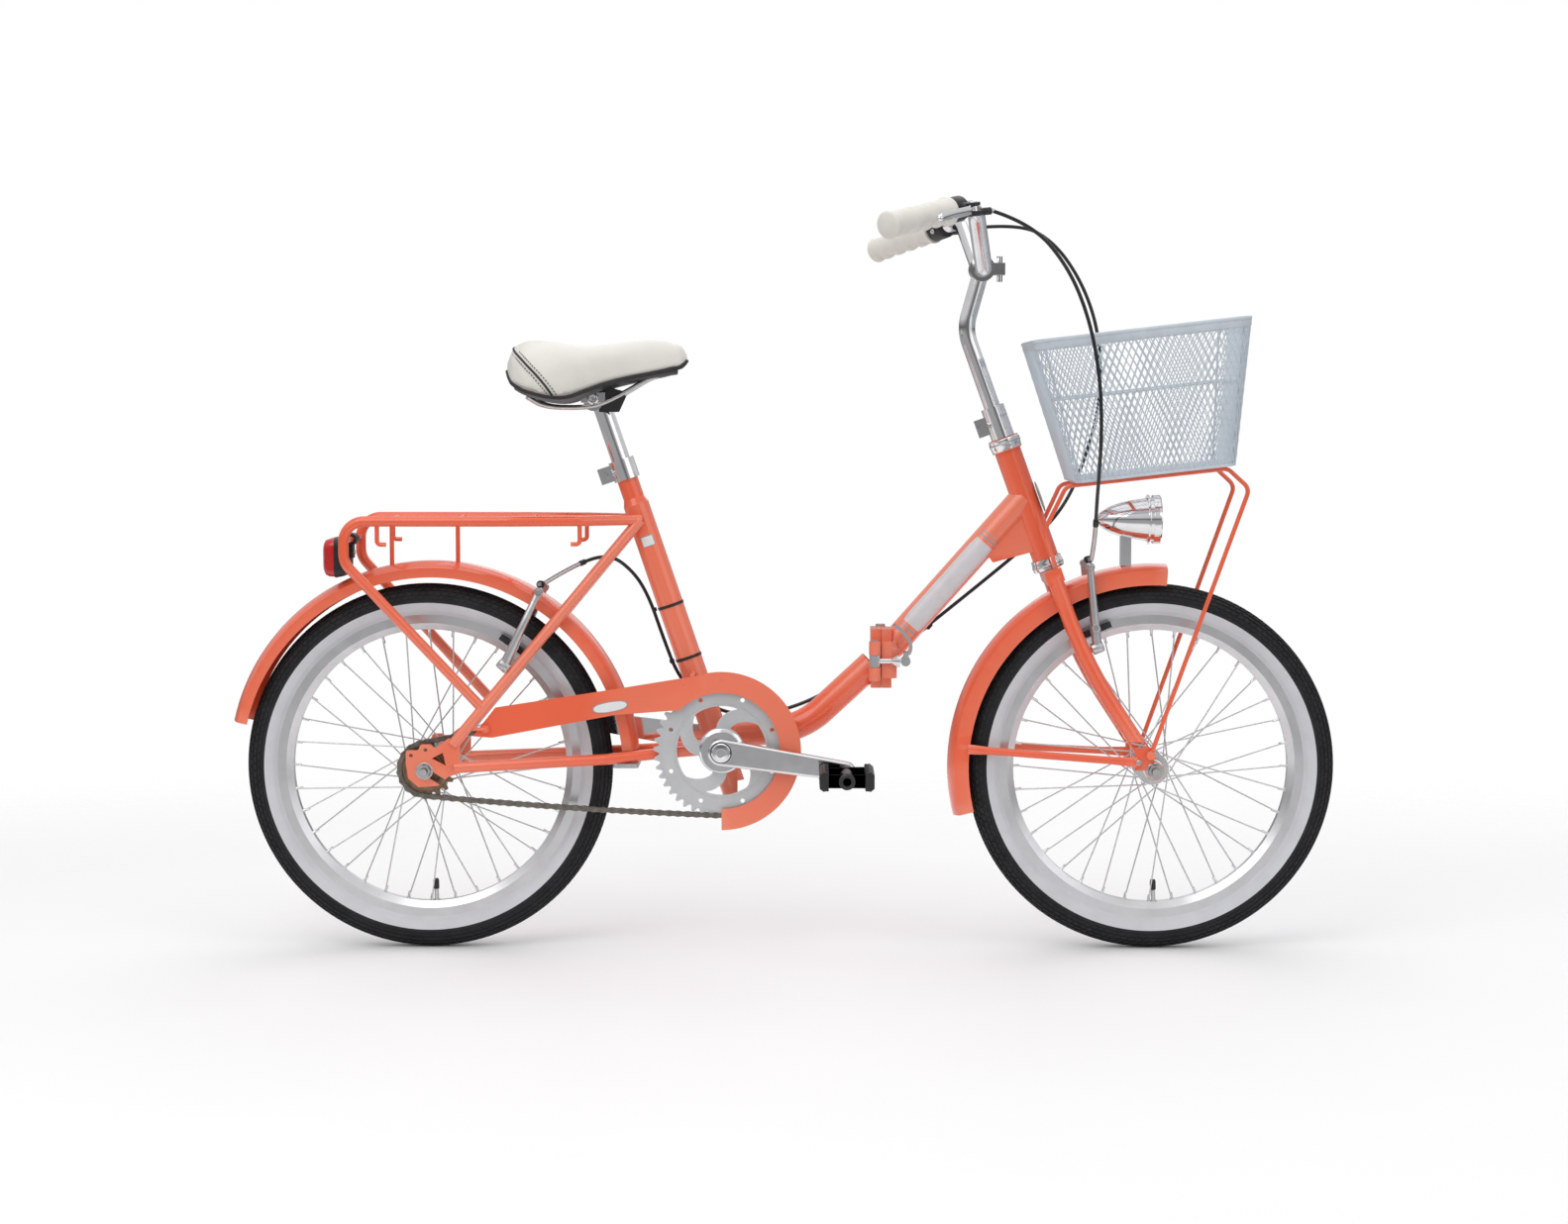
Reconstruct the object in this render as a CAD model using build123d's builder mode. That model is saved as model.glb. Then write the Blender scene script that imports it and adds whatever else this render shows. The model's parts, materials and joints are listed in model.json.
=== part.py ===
"""Folding city bicycle with 20 inch wheels, racks, mudguards and a front basket.

The bicycle stands on z = 0 and rides towards +X, its chain side is -Y.  x = 0 is the middle of its length
and y = 0 is the middle plane of the wheels and the frame.  All sizes are millimetres.
"""
import os
from math import atan2, cos, degrees, hypot, pi, radians, sin, tan

from build123d import *

os.makedirs("parts", exist_ok=True)

# ---- driving dimensions ------------------------------------------------------------------------
TYRE_DIAMETER = 500.0
TYRE_SECTION = 47.0
TYRE_WALL = 3.8
WHEELBASE = 984.0
REAR_AXLE_X = -483.2
AXLE_Z = TYRE_DIAMETER / 2
FRONT_AXLE_X = REAR_AXLE_X + WHEELBASE

BRACKET_AHEAD_OF_AXLE = 400.0
BRACKET_ABOVE_AXLE = 26.0
BRACKET_SHELL_RADIUS = 20.0
BRACKET_SHELL_WIDTH = 68.0
SPINDLE_RADIUS = 8.5

SEAT_ANGLE = 18.8
SEAT_TUBE_BEHIND_BRACKET = 4.3
SEAT_TUBE_RADIUS = 17.5
SEAT_NECK_RADIUS = 14.3
SEATPOST_RADIUS = 12.7
SEAT_TUBE_WALL = 2.0
SEAT_SHOULDER_ALONG = 350.0
SEAT_NECK_TOP_ALONG = 414.0

MAIN_TUBE_RADIUS = 19.0
MAIN_TUBE_WALL = 2.0
MAIN_TUBE_BEND = 110.0
STAY_RADIUS = 7.5
STAY_WALL = 1.5
REAR_DROPOUT_INNER = 58.0
REAR_DROPOUT_THICKNESS = 5.0

HINGE_AHEAD_OF_BRACKET = 216.0
HINGE_ABOVE_BRACKET = 123.0
HINGE_HEIGHT = 80.0
HINGE_HALF_WIDTH = 22.0
HINGE_PIN_RADIUS = 4.0
HINGE_PIN_SIDE = 31.0
LATCH_PIN_SIDE = 38.0
LATCH_PIN_BEHIND = 9.0

HEAD_ANGLE = 19.8
FORK_RAKE = 39.6
HEAD_TUBE_BOTTOM = 316.0
HEAD_TUBE_LENGTH = 156.0
HEAD_TUBE_RADIUS = 18.0
STEERER_RADIUS = 12.7
STEM_RADIUS = 11.1
STEM_WALL = 2.0
STEM_STRAIGHT_TOP = 645.0
FORK_BLADE_RADIUS = 10.5
FRONT_DROPOUT_INNER = 50.0
FRONT_DROPOUT_THICKNESS = 5.0

HANDLEBAR_RADIUS = 11.5
HANDLEBAR_WALL = 2.0
HANDLEBAR_HALF_WIDTH = 285.0

CHAIN_PITCH = 12.7
CHAIN_SIDE = 44.0
CHAINRING_TEETH = 44
SPROCKET_TEETH = 18
CRANK_LENGTH = 170.0
CRANK_DROP_ANGLE = 8.7
PEDAL_LENGTH = 72.0
PEDAL_WIDTH = 90.0
PEDAL_THICKNESS = 26.0

RIM_BEAD_RADIUS = TYRE_DIAMETER / 2 - TYRE_SECTION
RIM_HALF_WIDTH = 12.5
SPOKE_COUNT = 36
SPOKE_RADIUS = 1.0
AXLE_RADIUS = 5.0

MUDGUARD_HALF_WIDTH = 27.5
MUDGUARD_THICKNESS = 1.6
MUDGUARD_GAP = 27.0

RACK_BAR_RADIUS = 7.0
RACK_WIRE_RADIUS = 3.0
BASKET_TOP_LENGTH = 293.0
BASKET_TOP_WIDTH = 250.0
BASKET_BOTTOM_LENGTH = 214.0
BASKET_BOTTOM_WIDTH = 205.0
BASKET_HEIGHT = 195.0
BASKET_WALL = 3.0

SADDLE_HALF_WIDTH = 96.0
CABLE_RADIUS = 2.5

# ---- named clearances --------------------------------------------------------------------------
RUNNING_FIT = 0.05
BODY_GAP = 0.5
PAD_GAP = 1.5

# ---- reference points and planes ---------------------------------------------------------------
REAR_AXLE = Vector(REAR_AXLE_X, 0, AXLE_Z)
FRONT_AXLE = Vector(FRONT_AXLE_X, 0, AXLE_Z)
BRACKET = Vector(REAR_AXLE_X + BRACKET_AHEAD_OF_AXLE, 0, AXLE_Z + BRACKET_ABOVE_AXLE)
HINGE = BRACKET + Vector(HINGE_AHEAD_OF_BRACKET, 0, HINGE_ABOVE_BRACKET)
WHEEL_AXIS = Vector(0, 1, 0)

SEAT_SINE = sin(radians(SEAT_ANGLE))
SEAT_COSINE = cos(radians(SEAT_ANGLE))
# Seat plane: local z runs up the seat tube from the height of the bottom bracket, local x forward.
SEAT = Plane(
    origin=BRACKET - Vector(SEAT_TUBE_BEHIND_BRACKET, 0, 0),
    x_dir=(SEAT_COSINE, 0, SEAT_SINE),
    z_dir=(-SEAT_SINE, 0, SEAT_COSINE),
)
HEAD_SINE = sin(radians(HEAD_ANGLE))
HEAD_COSINE = cos(radians(HEAD_ANGLE))
# Steering plane: local z runs up the steering axis from the height of the front axle, local x forward.
STEER = Plane(
    origin=FRONT_AXLE - FORK_RAKE * Vector(HEAD_COSINE, 0, HEAD_SINE),
    x_dir=(HEAD_COSINE, 0, HEAD_SINE),
    z_dir=(-HEAD_SINE, 0, HEAD_COSINE),
)
FROM_BOTTOM = (Align.CENTER, Align.CENTER, Align.MIN)


def on_seat(forward, side, along):
    """Point given in the seat plane's own directions."""
    return SEAT.from_local_coords(Vector(forward, side, along))


def on_steer(forward, side, along):
    """Point given in the steering plane's own directions."""
    return STEER.from_local_coords(Vector(forward, side, along))


def rod(start, end, radius, mode=Mode.ADD):
    """Round bar between two points, put into the part that is being built."""
    direction = Vector(end) - Vector(start)
    with Locations(Plane(origin=start, z_dir=direction)):
        Cylinder(radius, direction.length, align=FROM_BOTTOM, mode=mode)


def bent_rod(points, bends, radius, mode=Mode.ADD):
    """Round bar along straight runs joined by tangent arcs, put into the part that is being built."""
    with BuildLine() as path:
        FilletPolyline(*points, radius=bends)
    with BuildSketch(Plane(origin=path.line @ 0, z_dir=path.line % 0)) as section:
        Circle(radius)
    sweep(sections=section.sketch, path=path.line, mode=mode)


def bent_tube(points, bends, radius, wall):
    """Round tube along straight runs joined by tangent arcs, put into the part that is being built."""
    bent_rod(points, bends, radius)
    bent_rod(points, bends, radius - wall, Mode.SUBTRACT)


def cross_rod(x, z, half_length, radius, side=0.0, mode=Mode.ADD):
    """Round bar along Y, centred at the given side."""
    rod(Vector(x, side - half_length, z), Vector(x, side + half_length, z), radius, mode)


# ---- wheels --------------------------------------------------------------------------------------
RIM_FLANGE_RADIUS = RIM_BEAD_RADIUS + 6.0
RIM_INNER_RADIUS = RIM_BEAD_RADIUS - 16.0
RIM_LIP = 1.5
SPOKES_PER_FLANGE = SPOKE_COUNT // 2
SPOKE_CROSS_ANGLE = 3 * 360.0 / SPOKES_PER_FLANGE
HUB_BEARING_RADIUS = 10.0
HUB_FLANGE_THICKNESS = 3.0


def wheel_parts(prefix, axle, shell_radius, flange_radius, flange_near, flange_far, hub_near, hub_far):
    """Tyre, rim, spokes and hub of one wheel; near is the chain side, -Y."""
    radial = Plane(origin=axle, x_dir=(0, 0, 1), z_dir=(1, 0, 0))
    spin = Axis(axle, WHEEL_AXIS)
    section_centre = TYRE_DIAMETER / 2 - TYRE_SECTION / 2
    with BuildPart() as tyre:
        with BuildSketch(radial) as section:
            with Locations((section_centre, 0)):
                Circle(TYRE_SECTION / 2)
                Circle(TYRE_SECTION / 2 - TYRE_WALL, mode=Mode.SUBTRACT)
            with Locations((RIM_FLANGE_RADIUS / 2, 0)):
                Rectangle(RIM_FLANGE_RADIUS + 2 * BODY_GAP, 2 * (RIM_HALF_WIDTH - 4.5), mode=Mode.SUBTRACT)
            with Locations((RIM_BEAD_RADIUS / 2, 0)):
                Rectangle(RIM_BEAD_RADIUS + 2 * BODY_GAP, TYRE_SECTION, mode=Mode.SUBTRACT)
            for side in (-1, 1):
                beside_rim = side * (RIM_HALF_WIDTH - RIM_LIP + TYRE_SECTION / 2)
                with Locations((RIM_FLANGE_RADIUS / 2, beside_rim)):
                    Rectangle(RIM_FLANGE_RADIUS + 0.4, TYRE_SECTION, mode=Mode.SUBTRACT)
        revolve(axis=spin)
    tyre.part.label = f"{prefix}_tyre"
    export_step(tyre.part, f"parts/{prefix}_tyre.step")

    half_profile = [
        (RIM_INNER_RADIUS, 6.0),
        (RIM_INNER_RADIUS + 9.0, RIM_HALF_WIDTH - 0.5),
        (RIM_FLANGE_RADIUS, RIM_HALF_WIDTH),
        (RIM_FLANGE_RADIUS, RIM_HALF_WIDTH - RIM_LIP),
        (RIM_BEAD_RADIUS, RIM_HALF_WIDTH - RIM_LIP),
        (RIM_BEAD_RADIUS - 3.0, RIM_HALF_WIDTH - 5.0),
    ]
    with BuildPart() as rim:
        with BuildSketch(radial) as section:
            with BuildLine():
                Polyline(*half_profile, *[(r, -y) for r, y in reversed(half_profile)], close=True)
            make_face()
        revolve(axis=spin)
    rim.part.label = f"{prefix}_rim"
    export_step(rim.part, f"parts/{prefix}_rim.step")

    with BuildPart() as spokes:
        for number in range(SPOKE_COUNT):
            on_near = number % 2
            flange = flange_near if on_near else flange_far
            leaning = 1 if (number // 2) % 2 else -1
            rim_angle = radians(number * 360.0 / SPOKE_COUNT)
            hub_angle = rim_angle + leaning * radians(SPOKE_CROSS_ANGLE)
            root = flange_radius + 1.4
            start = axle + Vector(root * cos(hub_angle), flange, root * sin(hub_angle))
            tip = RIM_INNER_RADIUS - 0.3
            end = axle + Vector(tip * cos(rim_angle), 2.5 if flange > 0 else -2.5, tip * sin(rim_angle))
            rod(start, end, SPOKE_RADIUS)
    spokes.part.label = f"{prefix}_spokes"
    export_step(spokes.part, f"parts/{prefix}_spokes.step")

    with BuildPart() as hub:
        cross_rod(axle.X, axle.Z, (hub_far - hub_near) / 2, shell_radius, (hub_far + hub_near) / 2)
        for flange in (flange_near, flange_far):
            cross_rod(axle.X, axle.Z, HUB_FLANGE_THICKNESS / 2, flange_radius, flange)
        cross_rod(axle.X, axle.Z, TYRE_SECTION * 2, HUB_BEARING_RADIUS + RUNNING_FIT, mode=Mode.SUBTRACT)
    hub.part.label = f"{prefix}_hub"
    export_step(hub.part, f"parts/{prefix}_hub.step")


wheel_parts("rear", REAR_AXLE, 17.0, 27.0, -24.0, 32.0, -33.0, 38.0)
wheel_parts("front", FRONT_AXLE, 15.0, 22.0, -30.0, 30.0, -35.0, 35.0)


def axle_part(label, axle, dropout_inner, dropout_thickness, hub_near, hub_far):
    """Axle with its cones and its two outer nuts; it stays with the dropouts."""
    outer = dropout_inner + dropout_thickness
    with BuildPart() as piece:
        cross_rod(axle.X, axle.Z, outer + 16.0, AXLE_RADIUS)
        cross_rod(axle.X, axle.Z, (hub_far - hub_near) / 2 - 2.0, HUB_BEARING_RADIUS, (hub_far + hub_near) / 2)
        for side in (-1, 1):
            reach = abs(hub_near) if side < 0 else hub_far
            cone_middle = side * (reach - 2.0 + dropout_inner) / 2
            cross_rod(axle.X, axle.Z, (dropout_inner - reach + 2.0) / 2, HUB_BEARING_RADIUS - 2.0, cone_middle)
            with BuildSketch(Plane.XZ.offset(-side * outer)) as nut_outline:
                with Locations((axle.X, axle.Z)):
                    RegularPolygon(9.5, 6)
            extrude(nut_outline.sketch, amount=-side * 9.0)
    piece.part.label = label
    export_step(piece.part, f"parts/{label}.step")


axle_part("rear_axle", REAR_AXLE, REAR_DROPOUT_INNER, REAR_DROPOUT_THICKNESS, -33.0, 38.0)
axle_part("front_axle", FRONT_AXLE, FRONT_DROPOUT_INNER, FRONT_DROPOUT_THICKNESS, -35.0, 35.0)

# ---- seat tube and bottom bracket ----------------------------------------------------------------
SEAT_TUBE_FOOT = -86.0
with BuildPart() as seat_tube:
    with BuildSketch(Plane(origin=SEAT.origin, x_dir=SEAT.x_dir, z_dir=(0, -1, 0))) as profile:
        with BuildLine():
            Polyline(
                (0, SEAT_TUBE_FOOT),
                (SEAT_TUBE_RADIUS, SEAT_TUBE_FOOT),
                (SEAT_TUBE_RADIUS, SEAT_SHOULDER_ALONG),
                (SEAT_NECK_RADIUS, SEAT_SHOULDER_ALONG + 9.0),
                (SEAT_NECK_RADIUS, SEAT_NECK_TOP_ALONG),
                (0, SEAT_NECK_TOP_ALONG),
                close=True,
            )
        make_face()
    revolve(axis=Axis(SEAT.origin, SEAT.z_dir))
    rod(on_seat(0, 0, SEAT_TUBE_FOOT), on_seat(0, 0, -30.0), SEAT_TUBE_RADIUS - SEAT_TUBE_WALL, Mode.SUBTRACT)
    rod(on_seat(0, 0, 35.0), on_seat(0, 0, SEAT_NECK_TOP_ALONG), SEATPOST_RADIUS + RUNNING_FIT, Mode.SUBTRACT)
    cross_rod(BRACKET.X, BRACKET.Z, BRACKET_SHELL_WIDTH, BRACKET_SHELL_RADIUS, mode=Mode.SUBTRACT)
    # The foot below the bottom bracket is cut off upright in front.
    with Locations(BRACKET + Vector(BRACKET_SHELL_RADIUS + 25.0, 0, -75.0)):
        Box(50.0, 60.0, 60.0, mode=Mode.SUBTRACT)
seat_tube.part.label = "seat_tube"
export_step(seat_tube.part, "parts/seat_tube.step")

CUP_RADIUS = 17.0
CUP_LIP_RADIUS = 18.5
CUP_DEPTH = 14.0
with BuildPart() as bottom_bracket_shell:
    cross_rod(BRACKET.X, BRACKET.Z, BRACKET_SHELL_WIDTH / 2, BRACKET_SHELL_RADIUS)
    cross_rod(BRACKET.X, BRACKET.Z, BRACKET_SHELL_WIDTH / 2 + 2.5, CUP_LIP_RADIUS)
    cross_rod(BRACKET.X, BRACKET.Z, BRACKET_SHELL_WIDTH / 2 - CUP_DEPTH, CUP_RADIUS, mode=Mode.SUBTRACT)
    cross_rod(BRACKET.X, BRACKET.Z, BRACKET_SHELL_WIDTH, SPINDLE_RADIUS + RUNNING_FIT, mode=Mode.SUBTRACT)
bottom_bracket_shell.part.label = "bottom_bracket_shell"
export_step(bottom_bracket_shell.part, "parts/bottom_bracket_shell.step")

# ---- rear half of the main tube ------------------------------------------------------------------
LUG_THICKNESS = 14.0
REAR_LUG_FACE = HINGE.X
MAIN_TUBE_POINTS = [
    BRACKET + Vector(-4.0, 0, 16.0),
    BRACKET + Vector(108.0, 0, 25.0),
    HINGE + Vector(-LUG_THICKNESS + 2.0, 0, -9.0),
]
with BuildPart() as main_tube_rear:
    bent_rod(MAIN_TUBE_POINTS, MAIN_TUBE_BEND, MAIN_TUBE_RADIUS)
    bent_rod(MAIN_TUBE_POINTS, MAIN_TUBE_BEND, MAIN_TUBE_RADIUS - MAIN_TUBE_WALL, Mode.SUBTRACT)
    rod(on_seat(0, 0, -60.0), on_seat(0, 0, 90.0), SEAT_TUBE_RADIUS, Mode.SUBTRACT)
    cross_rod(BRACKET.X, BRACKET.Z, BRACKET_SHELL_WIDTH, BRACKET_SHELL_RADIUS, mode=Mode.SUBTRACT)
    with Locations(BRACKET + Vector(-32.0, 0, 20.0)):
        Box(60.0, 60.0, 80.0, mode=Mode.SUBTRACT)
    with Locations(HINGE + Vector(-LUG_THICKNESS + 40.0, 0, 0)):
        Box(80.0, 80.0, 2 * HINGE_HEIGHT, mode=Mode.SUBTRACT)
main_tube_rear.part.label = "main_tube_rear"
export_step(main_tube_rear.part, "parts/main_tube_rear.step")

# ---- rear dropouts and stays ---------------------------------------------------------------------
EYELET_RADIUS = 2.6
EYELET_BACK = (-18.0, 21.0)
EYELET_TOP = (1.5, 29.0)
DROPOUT_OUTLINE = [
    (-25.0, 10.0),
    (-25.0, 28.0),
    (-8.0, 28.0),
    (-5.0, 36.0),
    (9.0, 36.0),
    (14.0, 30.0),
    (33.0, 45.0),
    (48.0, 33.0),
    (47.0, -3.0),
    (32.0, -8.0),
    (18.0, -20.0),
    (-8.0, -22.0),
    (-22.0, -10.0),
]
SLOT_ANGLE = -32.0
SLOT_LENGTH = 50.0


def dropout_outline():
    """Corners of the dropout plate in x and z."""
    return [(REAR_AXLE.X + x, REAR_AXLE.Z + z) for x, z in DROPOUT_OUTLINE]


with BuildPart() as rear_dropouts:
    with BuildSketch(Plane.XZ.offset(REAR_DROPOUT_INNER)) as plate:
        with BuildLine():
            Polyline(*dropout_outline(), close=True)
        make_face()
        fillet(plate.vertices(), 3.5)
        with Locations((REAR_AXLE.X + EYELET_BACK[0], REAR_AXLE.Z + EYELET_BACK[1])):
            Circle(EYELET_RADIUS, mode=Mode.SUBTRACT)
        with Locations((REAR_AXLE.X + EYELET_TOP[0], REAR_AXLE.Z + EYELET_TOP[1])):
            Circle(EYELET_RADIUS, mode=Mode.SUBTRACT)
        with Locations((REAR_AXLE.X, REAR_AXLE.Z)):
            Circle(AXLE_RADIUS + RUNNING_FIT, mode=Mode.SUBTRACT)
        with Locations(
            Location(
                (
                    REAR_AXLE.X + SLOT_LENGTH / 2 * cos(radians(SLOT_ANGLE)),
                    REAR_AXLE.Z + SLOT_LENGTH / 2 * sin(radians(SLOT_ANGLE)),
                ),
                SLOT_ANGLE,
            )
        ):
            Rectangle(SLOT_LENGTH, 2 * AXLE_RADIUS, mode=Mode.SUBTRACT)
        with BuildLine(mode=Mode.PRIVATE) as window:
            Polyline(
                (REAR_AXLE.X + 10.0, REAR_AXLE.Z + 17.0),
                (REAR_AXLE.X + 25.0, REAR_AXLE.Z + 25.0),
                (REAR_AXLE.X + 29.0, REAR_AXLE.Z + 7.0),
                close=True,
            )
        make_face(window.line, mode=Mode.SUBTRACT)
    extrude(amount=REAR_DROPOUT_THICKNESS)
    mirror(about=Plane.XZ)
rear_dropouts.part.label = "rear_dropouts"
export_step(rear_dropouts.part, "parts/rear_dropouts.step")

DROPOUT_MIDDLE = REAR_DROPOUT_INNER + REAR_DROPOUT_THICKNESS / 2
SEATSTAY_FOOT = REAR_AXLE + Vector(38.0, DROPOUT_MIDDLE, 35.0)
SEATSTAY_TOP = on_seat(0, SEAT_TUBE_RADIUS + 4.5, 329.0)


def on_seatstay(share, side=1):
    """Point on a seat stay, share 0 at the seat tube and 1 at the dropout."""
    point = SEATSTAY_TOP + share * (SEATSTAY_FOOT - SEATSTAY_TOP)
    return Vector(point.X, side * point.Y, point.Z)


BRAKE_BOSS_SHARE = 0.68
BRAKE_BOSS_RADIUS = 4.0
EYE_HALF = 7.0
BRAKE_BOSS_END = 2.0
REAR_EYE = STAY_RADIUS + BODY_GAP + EYE_HALF
STAY_SLOPE = atan2(SEATSTAY_TOP.Z - SEATSTAY_FOOT.Z, SEATSTAY_TOP.X - SEATSTAY_FOOT.X)
# Rear brake bosses stand square to the stays and point up and back.
REAR_BOSS_DIRECTION = Vector(-sin(STAY_SLOPE), 0, cos(STAY_SLOPE))
with BuildPart() as seatstays:
    for side in (-1, 1):
        rod(on_seatstay(0, side), on_seatstay(1, side), STAY_RADIUS)
        boss_root = on_seatstay(BRAKE_BOSS_SHARE, side)
        boss_reach = REAR_EYE + EYE_HALF + BRAKE_BOSS_END
        rod(boss_root, boss_root + boss_reach * REAR_BOSS_DIRECTION, BRAKE_BOSS_RADIUS)
        rod(on_seatstay(0, side), on_seatstay(1, side), STAY_RADIUS - STAY_WALL, Mode.SUBTRACT)
    rod(on_seat(0, 0, 250.0), on_seat(0, 0, 345.0), SEAT_TUBE_RADIUS, Mode.SUBTRACT)
    add(rear_dropouts.part, mode=Mode.SUBTRACT)
seatstays.part.label = "seatstays"
export_step(seatstays.part, "parts/seatstays.step")

# The chainstays run inside the dropouts, past the tyre, and close in behind the chainring.
CHAINSTAY_POINTS = [
    REAR_AXLE + Vector(40.0, DROPOUT_MIDDLE, 4.0),
    REAR_AXLE + Vector(246.0, 45.5, 14.0),
    REAR_AXLE + Vector(306.0, 31.0, 19.0),
    BRACKET + Vector(-8.0, 25.0, 0),
]
with BuildPart() as chainstays:
    for side in (-1, 1):
        bent_tube([Vector(p.X, side * p.Y, p.Z) for p in CHAINSTAY_POINTS], 60.0, STAY_RADIUS, STAY_WALL)
    add(rear_dropouts.part, mode=Mode.SUBTRACT)
    cross_rod(BRACKET.X, BRACKET.Z, BRACKET_SHELL_WIDTH, BRACKET_SHELL_RADIUS, mode=Mode.SUBTRACT)
    rod(on_seat(0, 0, -60.0), on_seat(0, 0, 90.0), SEAT_TUBE_RADIUS, Mode.SUBTRACT)
chainstays.part.label = "chainstays"
export_step(chainstays.part, "parts/chainstays.step")

# ---- kickstand plate under the chainstays --------------------------------------------------------
KICKSTAND_BORE_RADIUS = 5.2
KICKSTAND_PLATE_THICKNESS = 6.0
KICKSTAND_AHEAD_OF_AXLE = 270.0
KICKSTAND_RISE = 4.8
with BuildPart() as kickstand_plate:
    with Locations(REAR_AXLE + Vector(KICKSTAND_AHEAD_OF_AXLE, 0, KICKSTAND_RISE)):
        Box(34.0, 92.0, KICKSTAND_PLATE_THICKNESS)
    fillet(kickstand_plate.edges().filter_by(Axis.Z), 6.0)
    with Locations(REAR_AXLE + Vector(KICKSTAND_AHEAD_OF_AXLE, 0, KICKSTAND_RISE)):
        Cylinder(KICKSTAND_BORE_RADIUS, 3 * KICKSTAND_PLATE_THICKNESS, mode=Mode.SUBTRACT)
    add(chainstays.part, mode=Mode.SUBTRACT)
kickstand_plate.part.label = "kickstand_plate"
export_step(kickstand_plate.part, "parts/kickstand_plate.step")

# ---- rear rack -----------------------------------------------------------------------------------
RACK_HALF_WIDTH = 72.0
RACK_TOP = TYRE_DIAMETER / 2 + MUDGUARD_GAP + 60.0
RACK_BACK = -104.0
RACK_FOOT_SHARE = 0.84
RACK_CROSSBAR_RADIUS = 4.0
LAMP_BAR_DROP = 27.0
RACK_POINTS = [
    REAR_AXLE + Vector(290.0, 20.0, RACK_TOP),
    REAR_AXLE + Vector(208.0, 60.0, RACK_TOP),
    REAR_AXLE + Vector(120.0, RACK_HALF_WIDTH, RACK_TOP),
    REAR_AXLE + Vector(RACK_BACK, RACK_HALF_WIDTH, RACK_TOP),
    REAR_AXLE + Vector(RACK_BACK, RACK_HALF_WIDTH, RACK_TOP - 55.0),
    on_seatstay(RACK_FOOT_SHARE),
]
with BuildPart() as rear_rack:
    for side in (-1, 1):
        rail = [Vector(p.X, side * p.Y, p.Z) for p in RACK_POINTS]
        bent_tube(rail, [40.0, 60.0, 28.0, 28.0], RACK_BAR_RADIUS, STAY_WALL)
        for back, turn in ((-59.0, 12.0), (211.0, -12.0)):
            hook = REAR_AXLE + Vector(back, side * (RACK_HALF_WIDTH if back < 0 else 59.6), RACK_TOP)
            hook_points = [hook, hook - Vector(0, 0, 31.0), hook + Vector(turn, 0, -31.0)]
            bent_rod(hook_points, 5.0, RACK_WIRE_RADIUS)
    for back in (40.0, -50.0):
        cross_rod(REAR_AXLE.X + back, REAR_AXLE.Z + RACK_TOP, RACK_HALF_WIDTH, RACK_CROSSBAR_RADIUS)
    cross_rod(REAR_AXLE.X + 140.0, REAR_AXLE.Z + RACK_TOP, RACK_HALF_WIDTH - 5.0, RACK_CROSSBAR_RADIUS)
    cross_rod(
        REAR_AXLE.X + RACK_BACK, REAR_AXLE.Z + RACK_TOP - LAMP_BAR_DROP, RACK_HALF_WIDTH, RACK_CROSSBAR_RADIUS
    )
    rod(on_seat(0, 0, 250.0), on_seat(0, 0, 345.0), SEAT_TUBE_RADIUS, Mode.SUBTRACT)
    for side in (-1, 1):
        rod(on_seatstay(0, side), on_seatstay(1, side), STAY_RADIUS, Mode.SUBTRACT)
rear_rack.part.label = "rear_rack"
export_step(rear_rack.part, "parts/rear_rack.step")

# ---- rear lamp on the rack -----------------------------------------------------------------------
LAMP_WIDTH = 84.0
LAMP_HEIGHT = 54.0
LAMP_LENS_DEPTH = 17.0
LAMP_HOUSING_DEPTH = 13.0
LAMP_CENTRE = REAR_AXLE + Vector(RACK_BACK - 18.0, 0, RACK_TOP - LAMP_BAR_DROP - 24.0)
with BuildPart() as rear_lamp:
    with BuildSketch(Plane(origin=LAMP_CENTRE, x_dir=(0, 1, 0), z_dir=(-1, 0, 0))):
        RectangleRounded(LAMP_WIDTH, LAMP_HEIGHT, 16.0)
    extrude(amount=LAMP_HOUSING_DEPTH)
    lens_back = LAMP_CENTRE - Vector(LAMP_HOUSING_DEPTH, 0, 0)
    with BuildSketch(Plane(origin=lens_back, x_dir=(0, 1, 0), z_dir=(-1, 0, 0))):
        RectangleRounded(LAMP_WIDTH - 6.0, LAMP_HEIGHT - 6.0, 14.0)
    extrude(amount=LAMP_LENS_DEPTH, taper=14.0)
    with Locations(LAMP_CENTRE + Vector(9.0, 0, 17.0)):
        Box(18.0, 30.0, 16.0)
    with Locations(REAR_AXLE + Vector(RACK_BACK, 0, RACK_TOP - LAMP_BAR_DROP)):
        Box(14.0, 30.0, 14.0)
    cross_rod(
        REAR_AXLE.X + RACK_BACK,
        REAR_AXLE.Z + RACK_TOP - LAMP_BAR_DROP,
        RACK_HALF_WIDTH,
        RACK_CROSSBAR_RADIUS,
        mode=Mode.SUBTRACT,
    )
rear_lamp.part.label = "rear_lamp"
export_step(rear_lamp.part, "parts/rear_lamp.step")

# ---- mudguards -----------------------------------------------------------------------------------


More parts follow.
